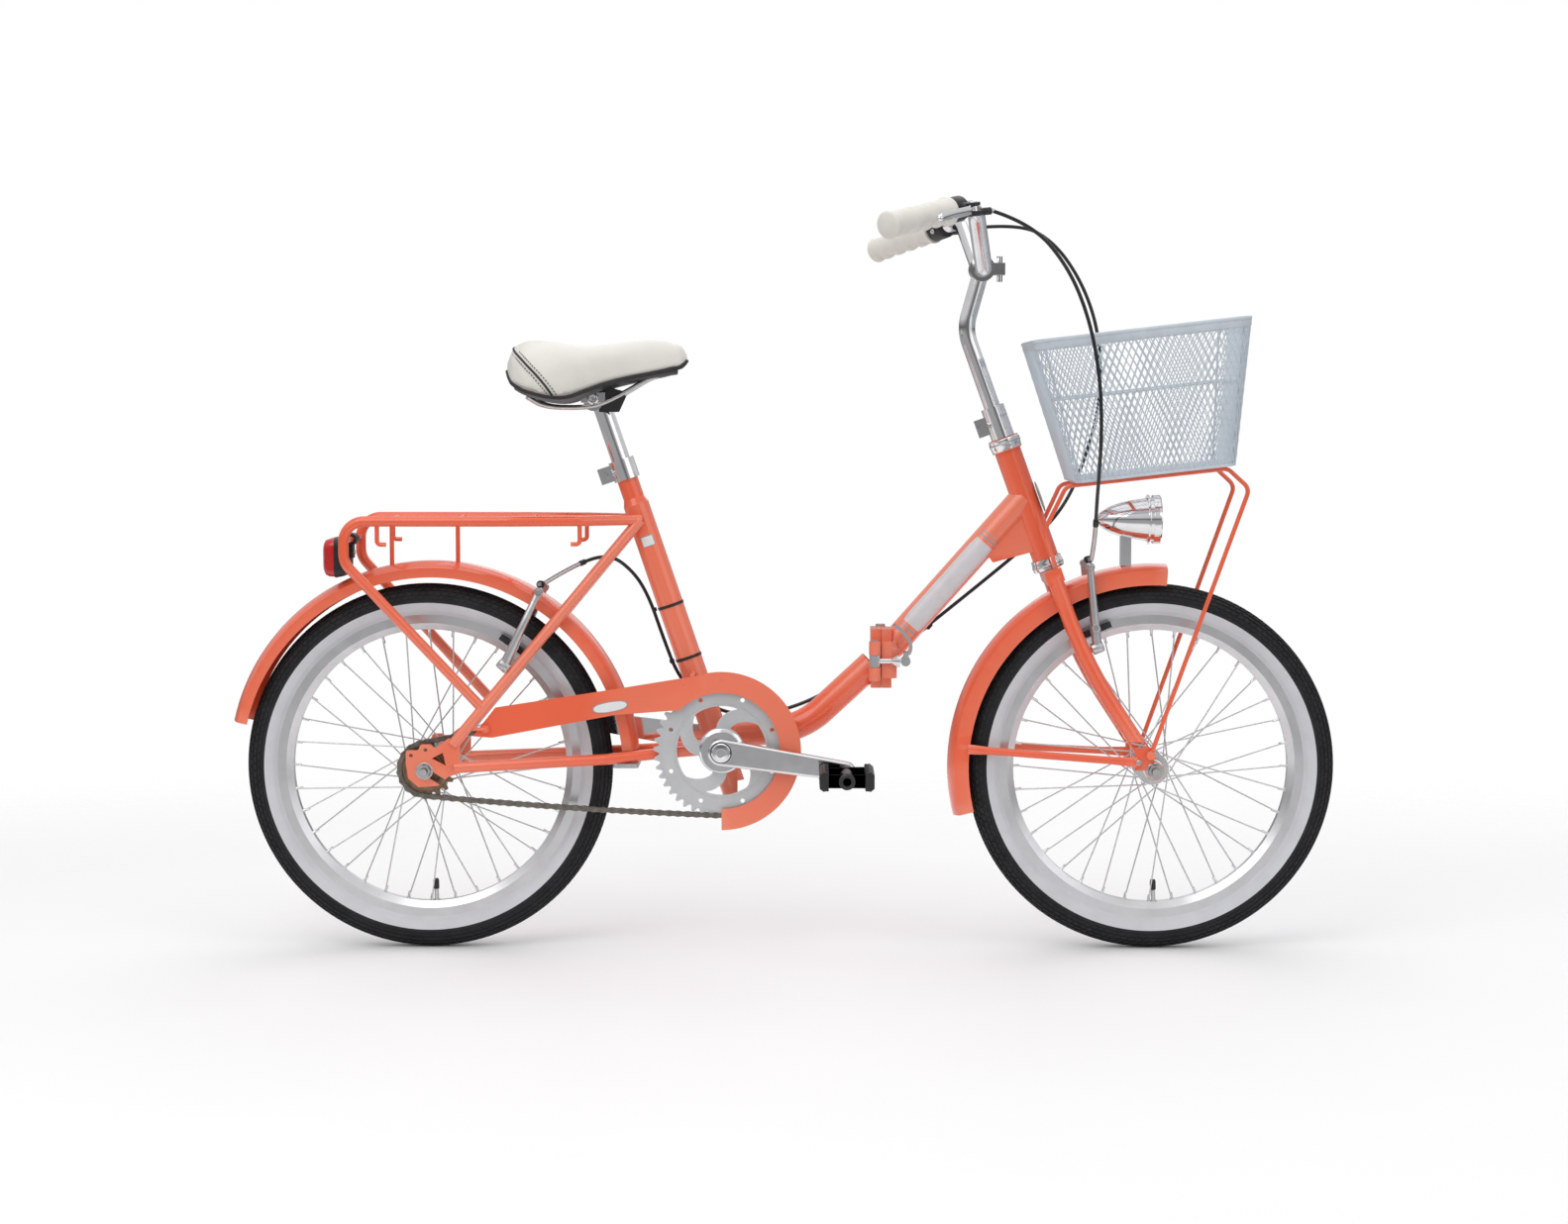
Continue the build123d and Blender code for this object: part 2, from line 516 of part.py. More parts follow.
def guard_band(centre, outer, skirt, start, end):
    """Arched sheet band round an axle from the start angle to the end angle, measured from +X to +Z."""
    start_turn = radians(start)
    section_plane = Plane(
        origin=centre,
        x_dir=(cos(start_turn), 0, sin(start_turn)),
        z_dir=(-sin(start_turn), 0, cos(start_turn)),
    )
    with BuildSketch(section_plane) as section:
        with BuildLine():
            for offset in (0.0, MUDGUARD_THICKNESS):
                half = MUDGUARD_HALF_WIDTH - offset
                ThreePointArc((outer - 9.0, half), (outer - offset, 0), (outer - 9.0, -half))
                Line((outer - 9.0, half), (outer - skirt, half))
                Line((outer - 9.0, -half), (outer - skirt, -half))
            for side in (-1, 1):
                Line(
                    (outer - skirt, side * MUDGUARD_HALF_WIDTH),
                    (outer - skirt, side * (MUDGUARD_HALF_WIDTH - MUDGUARD_THICKNESS)),
                )
        make_face()
    revolve(section.sketch, axis=Axis(centre, (0, -1, 0)), revolution_arc=end - start)


REAR_GUARD_CENTRE = REAR_AXLE + Vector(6.0, 0, 0)
REAR_GUARD_OUTER = TYRE_DIAMETER / 2 + MUDGUARD_GAP + 4.0
GUARD_SCREW_RADIUS = 3.0
with BuildPart() as rear_mudguard:
    guard_band(REAR_GUARD_CENTRE, REAR_GUARD_OUTER, 22.0, 5.0, 167.0)
    # Hangers from the crown of the guard up to the rack's crossbars.
    for back in (40.0, -50.0):
        rise = (REAR_GUARD_OUTER**2 - (back - 6.0) ** 2) ** 0.5
        rod(
            REAR_AXLE + Vector(back, 0, rise - 1.0),
            REAR_AXLE + Vector(back, 0, RACK_TOP - RACK_CROSSBAR_RADIUS),
            GUARD_SCREW_RADIUS,
        )
rear_mudguard.part.label = "rear_mudguard"
export_step(rear_mudguard.part, "parts/rear_mudguard.step")

# ---- chain guard ---------------------------------------------------------------------------------
GUARD_SIDE = CHAIN_SIDE + 7.0
GUARD_SHEET = 1.5
GUARD_RING_OUTER = 107.5
GUARD_RING_INNER = 79.0
with BuildPart() as chain_guard:
    with BuildSketch(Plane.XZ.offset(GUARD_SIDE)) as plate:
        with Locations((BRACKET.X, BRACKET.Z)):
            Circle(GUARD_RING_OUTER)
        with BuildLine():
            Polyline(
                (BRACKET.X - 336.0, BRACKET.Z + 20.0),
                (BRACKET.X - 305.0, BRACKET.Z + 59.0),
                (BRACKET.X - 144.0, BRACKET.Z + 84.0),
                (BRACKET.X, BRACKET.Z + GUARD_RING_OUTER),
                (BRACKET.X, BRACKET.Z + 60.0),
                (BRACKET.X - 144.0, BRACKET.Z + 49.0),
                (BRACKET.X - 310.0, BRACKET.Z + 18.0),
                close=True,
            )
        make_face()
        with BuildLine():
            Polyline(
                (BRACKET.X, BRACKET.Z - GUARD_RING_OUTER - 5.0),
                (BRACKET.X, BRACKET.Z + 60.0),
                (BRACKET.X - 144.0, BRACKET.Z + 49.0),
                (BRACKET.X - 144.0, BRACKET.Z - GUARD_RING_OUTER - 5.0),
                close=True,
            )
        make_face(mode=Mode.SUBTRACT)
        with Locations((BRACKET.X, BRACKET.Z)):
            Circle(GUARD_RING_INNER, mode=Mode.SUBTRACT)
    extrude(amount=GUARD_SHEET)
    stay_point = on_seatstay(0.93, -1)
    guard_screw = Vector(stay_point.X + 26.0, -GUARD_SIDE - GUARD_SHEET, stay_point.Z)
    rod(guard_screw, guard_screw - Vector(0, 4.0, 0), 6.0)
    rod(guard_screw - Vector(0, 2.5, 0), stay_point, 2.4)
    tube_strap = on_seat(0, 0, 108.0)
    rod(tube_strap - Vector(0, 12.0, 0), tube_strap - Vector(0, GUARD_SIDE, 0), 3.0)
    rod(on_seat(0, 0, 60.0), on_seat(0, 0, 160.0), SEAT_TUBE_RADIUS, Mode.SUBTRACT)
    rod(on_seatstay(0, -1), on_seatstay(1, -1), STAY_RADIUS, Mode.SUBTRACT)
chain_guard.part.label = "chain_guard"
export_step(chain_guard.part, "parts/chain_guard.step")

# ---- seat clamp on the slotted neck --------------------------------------------------------------
CLAMP_RADIUS = 17.6
CLAMP_HEIGHT = 28.0
with BuildPart(SEAT) as seat_clamp:
    with Locations((0, 0, SEAT_NECK_TOP_ALONG - CLAMP_HEIGHT)):
        Cylinder(CLAMP_RADIUS, CLAMP_HEIGHT, align=FROM_BOTTOM)
    with Locations((-CLAMP_RADIUS - 6.0, 0, SEAT_NECK_TOP_ALONG - CLAMP_HEIGHT / 2)):
        Box(22.0, 14.0, CLAMP_HEIGHT - 6.0)
        with Locations((-4.0, 0, 0)):
            Cylinder(5.0, 30.0, rotation=(90, 0, 0))
    with Locations((0, 0, SEAT_NECK_TOP_ALONG - CLAMP_HEIGHT)):
        Cylinder(SEAT_NECK_RADIUS, 2 * CLAMP_HEIGHT, align=FROM_BOTTOM, mode=Mode.SUBTRACT)
seat_clamp.part.label = "seat_clamp"
export_step(seat_clamp.part, "parts/seat_clamp.step")

# ---- chain, chainring and sprocket ---------------------------------------------------------------
CHAINRING_PITCH_RADIUS = CHAIN_PITCH / 2 / sin(pi / CHAINRING_TEETH)
SPROCKET_PITCH_RADIUS = CHAIN_PITCH / 2 / sin(pi / SPROCKET_TEETH)
CHAIN_PLATE_HALF_HEIGHT = 4.0
CHAIN_HALF_WIDTH = 4.2
CHAIN_PLATE = 2.2
ROLLER_RADIUS = 3.85
ROLLER_SEAT_RADIUS = 5.5
TOOTH_HEIGHT = 2.6
TOOTH_THICKNESS = 3.0
CHAIN_RUN = BRACKET - REAR_AXLE
RUN_SLOPE = atan2(CHAIN_RUN.Z, CHAIN_RUN.X)
WRAP_LEAN = atan2(CHAINRING_PITCH_RADIUS - SPROCKET_PITCH_RADIUS, hypot(CHAIN_RUN.X, CHAIN_RUN.Z))
UPPER_TANGENT = RUN_SLOPE + pi / 2 + WRAP_LEAN
LOWER_TANGENT = RUN_SLOPE - pi / 2 - WRAP_LEAN


def toothed_disc(centre, pitch_radius, teeth, first_gap):
    """Sketch of a chain wheel: a disc with one round gap between each pair of teeth."""
    with Locations((centre.X, centre.Z)):
        Circle(pitch_radius + TOOTH_HEIGHT)
        with PolarLocations(pitch_radius, teeth, start_angle=degrees(first_gap)):
            Circle(ROLLER_SEAT_RADIUS, mode=Mode.SUBTRACT)


def wrapped_rollers(centre, pitch_radius, teeth, first, last):
    """Roller centres on one chain wheel, from the first angle to the last, clockwise."""
    step = 2 * pi / teeth
    count = int((first - last) / step) + 1
    return [
        (centre.X + pitch_radius * cos(first - n * step), centre.Z + pitch_radius * sin(first - n * step))
        for n in range(count)
    ]


ring_rollers = wrapped_rollers(BRACKET, CHAINRING_PITCH_RADIUS, CHAINRING_TEETH, UPPER_TANGENT, LOWER_TANGENT)
sprocket_rollers = wrapped_rollers(
    REAR_AXLE, SPROCKET_PITCH_RADIUS, SPROCKET_TEETH, LOWER_TANGENT, UPPER_TANGENT - 2 * pi
)


def straight_rollers(start, end):
    """Roller centres between two wheels, evenly spaced at about one pitch."""
    count = round(hypot(end[0] - start[0], end[1] - start[1]) / CHAIN_PITCH)
    return [
        (start[0] + (end[0] - start[0]) * n / count, start[1] + (end[1] - start[1]) * n / count)
        for n in range(1, count)
    ]


with BuildPart() as chain:
    for offset in (CHAIN_SIDE - CHAIN_HALF_WIDTH, CHAIN_SIDE + CHAIN_HALF_WIDTH - CHAIN_PLATE):
        with BuildSketch(Plane.XZ.offset(offset)) as band:
            for inset, mode in ((CHAIN_PLATE_HALF_HEIGHT, Mode.ADD), (-CHAIN_PLATE_HALF_HEIGHT, Mode.SUBTRACT)):
                with BuildLine() as belt:
                    ring = CenterArc((BRACKET.X, BRACKET.Z), CHAINRING_PITCH_RADIUS + inset, 0, 360)
                    small = CenterArc((REAR_AXLE.X, REAR_AXLE.Z), SPROCKET_PITCH_RADIUS + inset, 0, 360)
                make_hull(belt.edges(), mode=mode)
        extrude(band.sketch, amount=CHAIN_PLATE)
    rollers = ring_rollers + straight_rollers(ring_rollers[-1], sprocket_rollers[0])
    rollers += sprocket_rollers + straight_rollers(sprocket_rollers[-1], ring_rollers[0])
    with BuildSketch(Plane.XZ.offset(CHAIN_SIDE - CHAIN_HALF_WIDTH + 0.1)) as roller_ends:
        with Locations(*rollers):
            Circle(ROLLER_RADIUS)
    extrude(roller_ends.sketch, amount=2 * CHAIN_HALF_WIDTH - 0.2)
chain.part.label = "chain"
export_step(chain.part, "parts/chain.step")

CHAINRING_HOLE_RADIUS = 3.6
CRANK_HUB_RADIUS = 18.0
with BuildPart() as chainring:
    with BuildSketch(Plane.XZ.offset(CHAIN_SIDE - TOOTH_THICKNESS / 2)):
        toothed_disc(BRACKET, CHAINRING_PITCH_RADIUS, CHAINRING_TEETH, UPPER_TANGENT)
        with Locations((BRACKET.X, BRACKET.Z)):
            Circle(SPINDLE_RADIUS, mode=Mode.SUBTRACT)
            with PolarLocations(70.0, 4, start_angle=45):
                Circle(CHAINRING_HOLE_RADIUS, mode=Mode.SUBTRACT)
            with PolarLocations(52.0, 4, start_angle=12):
                SlotOverall(58.0, 30.0, rotation=62, mode=Mode.SUBTRACT)
    extrude(amount=TOOTH_THICKNESS)
chainring.part.label = "chainring"
export_step(chainring.part, "parts/chainring.step")

FREEWHEEL_BORE = 11.0
with BuildPart() as sprocket:
    with BuildSketch(Plane.XZ.offset(CHAIN_SIDE - TOOTH_THICKNESS / 2)):
        toothed_disc(REAR_AXLE, SPROCKET_PITCH_RADIUS, SPROCKET_TEETH, LOWER_TANGENT)
    extrude(amount=TOOTH_THICKNESS)
    cross_rod(REAR_AXLE.X, REAR_AXLE.Z, 7.5, 24.0, -CHAIN_SIDE + 0.5)
    cross_rod(REAR_AXLE.X, REAR_AXLE.Z, 30.0, FREEWHEEL_BORE, -CHAIN_SIDE, mode=Mode.SUBTRACT)
sprocket.part.label = "freewheel_sprocket"
export_step(sprocket.part, "parts/freewheel_sprocket.step")

# ---- cranks and pedals ---------------------------------------------------------------------------
SPINDLE_HALF_LENGTH = 72.0
CRANK_INNER = 59.0
CRANK_THICKNESS = 13.0
with BuildPart() as crank_spindle:
    cross_rod(BRACKET.X, BRACKET.Z, SPINDLE_HALF_LENGTH, SPINDLE_RADIUS)
crank_spindle.part.label = "crank_spindle"
export_step(crank_spindle.part, "parts/crank_spindle.step")

DROP = radians(CRANK_DROP_ANGLE)
PEDAL_GAP = 6.0
PEDAL_SPINDLE_RADIUS = 5.0
for name, side in (("right", -1), ("left", 1)):
    forward = Vector(cos(DROP), 0, -sin(DROP)) * (1 if side < 0 else -1)
    pedal_eye = BRACKET + CRANK_LENGTH * forward
    arm_plane = Plane(origin=BRACKET + Vector(0, side * CRANK_INNER, 0), x_dir=forward, z_dir=(0, side, 0))
    with BuildPart() as crank_arm:
        with BuildSketch(arm_plane):
            with BuildLine() as arm_outline:
                CenterArc((0, 0), CRANK_HUB_RADIUS, 0, 360)
                CenterArc((CRANK_LENGTH, 0), 13.0, 0, 360)
            make_hull(arm_outline.edges())
        extrude(amount=CRANK_THICKNESS)
        fillet(crank_arm.faces().sort_by(Axis.Y)[0 if side < 0 else -1].edges(), 3.5)
        cross_rod(BRACKET.X, BRACKET.Z, SPINDLE_HALF_LENGTH, SPINDLE_RADIUS, mode=Mode.SUBTRACT)
        if side < 0:
            # The right arm's spider reaches in to the chainring.
            cross_rod(BRACKET.X, BRACKET.Z, 7.0, 27.0, -CRANK_INNER + 6.5)
            cross_rod(BRACKET.X, BRACKET.Z, SPINDLE_HALF_LENGTH, SPINDLE_RADIUS, mode=Mode.SUBTRACT)
        spindle_start = pedal_eye + Vector(0, side * (CRANK_INNER + 1.0), 0)
        reach = CRANK_THICKNESS + PEDAL_GAP + PEDAL_WIDTH
        rod(spindle_start, spindle_start + Vector(0, side * (reach - 8.0), 0), PEDAL_SPINDLE_RADIUS)
    crank_arm.part.label = f"crank_arm_{name}"
    export_step(crank_arm.part, f"parts/crank_arm_{name}.step")

    pedal_middle = CRANK_INNER + CRANK_THICKNESS + PEDAL_GAP + PEDAL_WIDTH / 2
    with BuildPart() as pedal:
        with Locations(pedal_eye + Vector(0, side * pedal_middle, 0)):
            Box(PEDAL_LENGTH, PEDAL_WIDTH, PEDAL_THICKNESS)
        fillet(pedal.edges().filter_by(Axis.Y), 5.0)
        with Locations(pedal_eye + Vector(0, side * pedal_middle, 0)):
            for back in (-1, 1):
                with Locations((back * PEDAL_LENGTH * 0.28, 0, 0)):
                    Box(PEDAL_LENGTH * 0.24, PEDAL_WIDTH * 0.72, PEDAL_THICKNESS, mode=Mode.SUBTRACT)
        rod(
            pedal_eye + Vector(0, side * (CRANK_INNER + CRANK_THICKNESS), 0),
            pedal_eye + Vector(0, side * (CRANK_INNER + reach - 6.0), 0),
            PEDAL_SPINDLE_RADIUS + RUNNING_FIT,
            Mode.SUBTRACT,
        )
    pedal.part.label = f"pedal_{name}"
    export_step(pedal.part, f"parts/pedal_{name}.step")

# ---- fold hinge and its latch --------------------------------------------------------------------
LUG_GAP = 0.4
KNUCKLE_RADIUS = 8.0
KNUCKLE_MIDDLE = 13.5
FOLD_PIN = HINGE + Vector(0, HINGE_PIN_SIDE, 0)
LATCH_PIN = HINGE + Vector(-LATCH_PIN_BEHIND, -LATCH_PIN_SIDE, 0)
LATCH_HEIGHT = -2.0
LATCH_EYE_HALF = 8.0
LATCH_KNUCKLE_LENGTH = 18.0


def upright(centre, low, high, radius, mode=Mode.ADD):
    """Upright round bar from one height to another above the given point."""
    rod(centre + Vector(0, 0, low), centre + Vector(0, 0, high), radius, mode)


def block(low, high, mode=Mode.ADD):
    """Box between two opposite corners."""
    middle = (Vector(low) + Vector(high)) / 2
    size = Vector(high) - Vector(low)
    with Locations(middle):
        Box(size.X, size.Y, size.Z, mode=mode)


HALF_HEIGHT = HINGE_HEIGHT / 2
LATCH_TOP = LATCH_HEIGHT + LATCH_EYE_HALF + BODY_GAP
LATCH_BOTTOM = LATCH_HEIGHT - LATCH_EYE_HALF - BODY_GAP
with BuildPart() as hinge_rear_lug:
    block(
        HINGE + Vector(-LUG_THICKNESS, -HINGE_HALF_WIDTH, -HALF_HEIGHT),
        HINGE + Vector(0, HINGE_HALF_WIDTH, HALF_HEIGHT),
    )
    for low, high in ((-HALF_HEIGHT, -KNUCKLE_MIDDLE - BODY_GAP), (KNUCKLE_MIDDLE + BODY_GAP, HALF_HEIGHT)):
        upright(FOLD_PIN, low, high, KNUCKLE_RADIUS)
        block(HINGE + Vector(-LUG_THICKNESS, 18.0, low), HINGE + Vector(0, HINGE_PIN_SIDE, high))
    for low, high in (
        (LATCH_TOP, LATCH_TOP + LATCH_KNUCKLE_LENGTH),
        (LATCH_BOTTOM - LATCH_KNUCKLE_LENGTH, LATCH_BOTTOM),
    ):
        upright(LATCH_PIN, low, high, KNUCKLE_RADIUS)
        block(LATCH_PIN + Vector(-5.0, 0, low), LATCH_PIN + Vector(6.0, 20.0, high))
    upright(FOLD_PIN, -HALF_HEIGHT, HALF_HEIGHT, HINGE_PIN_RADIUS, Mode.SUBTRACT)
    upright(LATCH_PIN, -HALF_HEIGHT, HALF_HEIGHT, HINGE_PIN_RADIUS, Mode.SUBTRACT)
hinge_rear_lug.part.label = "hinge_rear_lug"
export_step(hinge_rear_lug.part, "parts/hinge_rear_lug.step")

with BuildPart() as hinge_pins:
    upright(FOLD_PIN, -HALF_HEIGHT - 1.0, HALF_HEIGHT + 1.0, HINGE_PIN_RADIUS)
    upright(FOLD_PIN, HALF_HEIGHT, HALF_HEIGHT + 3.0, HINGE_PIN_RADIUS + 2.5)
    upright(
        LATCH_PIN,
        LATCH_BOTTOM - LATCH_KNUCKLE_LENGTH - 1.0,
        LATCH_TOP + LATCH_KNUCKLE_LENGTH + 2.0,
        HINGE_PIN_RADIUS,
    )
hinge_pins.part.label = "hinge_pins"
export_step(hinge_pins.part, "parts/hinge_pins.step")

EAR_REACH = 21.0
EAR_SHOULDER = 13.0
BOLT_RADIUS = 4.0
NUT_RADIUS = 8.5
LEVER_PIVOT_REACH = 41.5
with BuildPart() as hinge_front_lug:
    block(
        HINGE + Vector(LUG_GAP, -HINGE_HALF_WIDTH, -HALF_HEIGHT),
        HINGE + Vector(LUG_THICKNESS, HINGE_HALF_WIDTH, HALF_HEIGHT),
    )
    upright(FOLD_PIN, -KNUCKLE_MIDDLE, KNUCKLE_MIDDLE, KNUCKLE_RADIUS)
    block(
        HINGE + Vector(LUG_GAP, 18.0, -KNUCKLE_MIDDLE),
        HINGE + Vector(LUG_THICKNESS, HINGE_PIN_SIDE, KNUCKLE_MIDDLE),
    )
    # Wedge-faced ear that the latch nut pulls against; its slope lets the nut swing out.
    bolt_face = -LATCH_PIN_SIDE + BOLT_RADIUS + BODY_GAP
    with BuildSketch(Plane.XY.offset(HINGE.Z - 26.0)) as ear:
        with BuildLine():
            Polyline(
                (HINGE.X + LUG_GAP, -15.0),
                (HINGE.X + EAR_REACH, -15.0),
                (HINGE.X + EAR_REACH, bolt_face + 4.5),
                (HINGE.X + EAR_SHOULDER, bolt_face),
                (HINGE.X + LUG_GAP, bolt_face),
                close=True,
            )
        make_face()
    extrude(ear.sketch, amount=50.0)
    upright(FOLD_PIN, -HALF_HEIGHT, HALF_HEIGHT, HINGE_PIN_RADIUS + RUNNING_FIT, Mode.SUBTRACT)
hinge_front_lug.part.label = "hinge_front_lug"
export_step(hinge_front_lug.part, "parts/hinge_front_lug.step")

BOLT_START = LATCH_PIN + Vector(0, 0, LATCH_HEIGHT)
LEVER_PIVOT = BOLT_START + Vector(LEVER_PIVOT_REACH, 0, 0)
NUT_START = EAR_SHOULDER + LATCH_PIN_BEHIND
NUT_SEAT = EAR_REACH + LATCH_PIN_BEHIND
with BuildPart() as latch_bolt:
    upright(BOLT_START, -LATCH_EYE_HALF, LATCH_EYE_HALF, KNUCKLE_RADIUS - 0.5)
    rod(BOLT_START, LEVER_PIVOT, BOLT_RADIUS - 0.5)
    with Locations(Plane(origin=BOLT_START + Vector(NUT_START, 0, 0), z_dir=(1, 0, 0))):
        Cone(BOLT_RADIUS, NUT_RADIUS, NUT_SEAT - NUT_START, align=FROM_BOTTOM)
    rod(BOLT_START + Vector(NUT_SEAT, 0, 0), BOLT_START + Vector(NUT_SEAT + 4.0, 0, 0), NUT_RADIUS)
    cross_rod(LEVER_PIVOT.X, LEVER_PIVOT.Z, 8.0, BOLT_RADIUS, LEVER_PIVOT.Y)
    upright(BOLT_START, -LATCH_EYE_HALF, LATCH_EYE_HALF, HINGE_PIN_RADIUS + RUNNING_FIT, Mode.SUBTRACT)
latch_bolt.part.label = "latch_bolt"
export_step(latch_bolt.part, "parts/latch_bolt.step")

CHEEK_INNER = 3.9
CHEEK_OUTER = 7.2
LEVER_ROOT = LEVER_PIVOT + Vector(1.0, 0, 10.0)
with BuildPart() as latch_lever:
    for side in (-1, 1):
        middle = side * (CHEEK_INNER + CHEEK_OUTER) / 2
        cheek_side = LEVER_PIVOT.Y + middle
        cross_rod(LEVER_PIVOT.X, LEVER_PIVOT.Z, (CHEEK_OUTER - CHEEK_INNER) / 2, 6.5, cheek_side)
        with Locations((LEVER_PIVOT + LEVER_ROOT) / 2 + Vector(0, middle, 3.0)):
            Box(7.0, CHEEK_OUTER - CHEEK_INNER, 10.0)
    with BuildSketch(Plane.XZ.offset(-LEVER_PIVOT.Y - CHEEK_OUTER)) as blade:
        with Locations((LEVER_PIVOT.X, LEVER_PIVOT.Z)):
            with BuildLine(mode=Mode.PRIVATE) as blade_outline:
                Spline((6.0, 9.0), (9.0, 20.0), (3.0, 36.0), (-14.0, 51.0))
                Line((-14.0, 51.0), (-17.0, 48.0))
                Spline((-17.0, 48.0), (-1.0, 33.0), (5.0, 20.0), (-3.0, 9.0))
                Line((-3.0, 9.0), (6.0, 9.0))
            add(make_face(blade_outline.line, mode=Mode.PRIVATE))
    extrude(blade.sketch, amount=2 * CHEEK_OUTER)
    cross_rod(LEVER_PIVOT.X, LEVER_PIVOT.Z, 9.0, BOLT_RADIUS + RUNNING_FIT, LEVER_PIVOT.Y, Mode.SUBTRACT)
    block(
        LEVER_PIVOT + Vector(-12.0, -CHEEK_INNER, -12.0),
        LEVER_PIVOT + Vector(12.0, CHEEK_INNER, BOLT_RADIUS + 3.0),
        Mode.SUBTRACT,
    )
latch_lever.part.label = "latch_lever"
export_step(latch_lever.part, "parts/latch_lever.step")

# ---- front half of the main tube and the head tube -----------------------------------------------
HEAD_TUBE_TOP = HEAD_TUBE_BOTTOM + HEAD_TUBE_LENGTH
TUBE_MEETS_HEAD = on_steer(0, 0, HEAD_TUBE_TOP - 68.0)
TUBE_START = HINGE + Vector(LUG_THICKNESS - 2.0, 0, 12.0)
with BuildPart() as main_tube_front:
    rod(TUBE_START - Vector(12.0, 0, 13.4), TUBE_MEETS_HEAD, MAIN_TUBE_RADIUS)
    # Gusset that widens the joint below the tube.
    with BuildSketch(Plane.XZ) as gusset:
        with BuildLine():
            low = on_steer(0, 0, HEAD_TUBE_BOTTOM + 14.0)
            high = on_steer(0, 0, HEAD_TUBE_TOP - 60.0)
            back = TUBE_START + 0.68 * (TUBE_MEETS_HEAD - TUBE_START)
            Polyline((low.X, low.Z), (high.X, high.Z), (back.X, back.Z), (back.X + 16.0, back.Z - 22.0), close=True)
        make_face()
    extrude(gusset.sketch, amount=12.0, both=True)
    rod(TUBE_START - Vector(12.0, 0, 13.4), TUBE_MEETS_HEAD, MAIN_TUBE_RADIUS - MAIN_TUBE_WALL, Mode.SUBTRACT)
    rod(on_steer(0, 0, HEAD_TUBE_BOTTOM), on_steer(0, 0, HEAD_TUBE_TOP), HEAD_TUBE_RADIUS, Mode.SUBTRACT)
    with Locations(on_steer(40.0 + HEAD_TUBE_RADIUS / 2, 0, HEAD_TUBE_TOP - 60.0)):
        Box(80.0, 60.0, 60.0, mode=Mode.SUBTRACT)
    with Locations(HINGE + Vector(LUG_THICKNESS - 40.0, 0, 0)):
        Box(80.0, 80.0, 2 * HINGE_HEIGHT, mode=Mode.SUBTRACT)
    add(hinge_front_lug.part, mode=Mode.SUBTRACT)
main_tube_front.part.label = "main_tube_front"
export_step(main_tube_front.part, "parts/main_tube_front.step")

LOWER_CUP_HEIGHT = 14.0
UPPER_CUP_HEIGHT = 18.0
CUP_OUTER_RADIUS = 20.5
STEERER_TOP = HEAD_TUBE_TOP + UPPER_CUP_HEIGHT + 4.0
with BuildPart(STEER) as head_tube:
    with Locations((0, 0, HEAD_TUBE_BOTTOM)):
        Cylinder(HEAD_TUBE_RADIUS, HEAD_TUBE_LENGTH, align=FROM_BOTTOM)
    with Locations((0, 0, HEAD_TUBE_BOTTOM - LOWER_CUP_HEIGHT)):
        Cylinder(CUP_OUTER_RADIUS, LOWER_CUP_HEIGHT, align=FROM_BOTTOM)
    with Locations((0, 0, HEAD_TUBE_TOP)):
        Cylinder(CUP_OUTER_RADIUS, UPPER_CUP_HEIGHT, align=FROM_BOTTOM)
    with Locations((0, 0, HEAD_TUBE_BOTTOM - 2 * LOWER_CUP_HEIGHT)):
        Cylinder(STEERER_RADIUS + RUNNING_FIT, HEAD_TUBE_LENGTH * 2, align=FROM_BOTTOM, mode=Mode.SUBTRACT)
head_tube.part.label = "head_tube"
export_step(head_tube.part, "parts/head_tube.step")

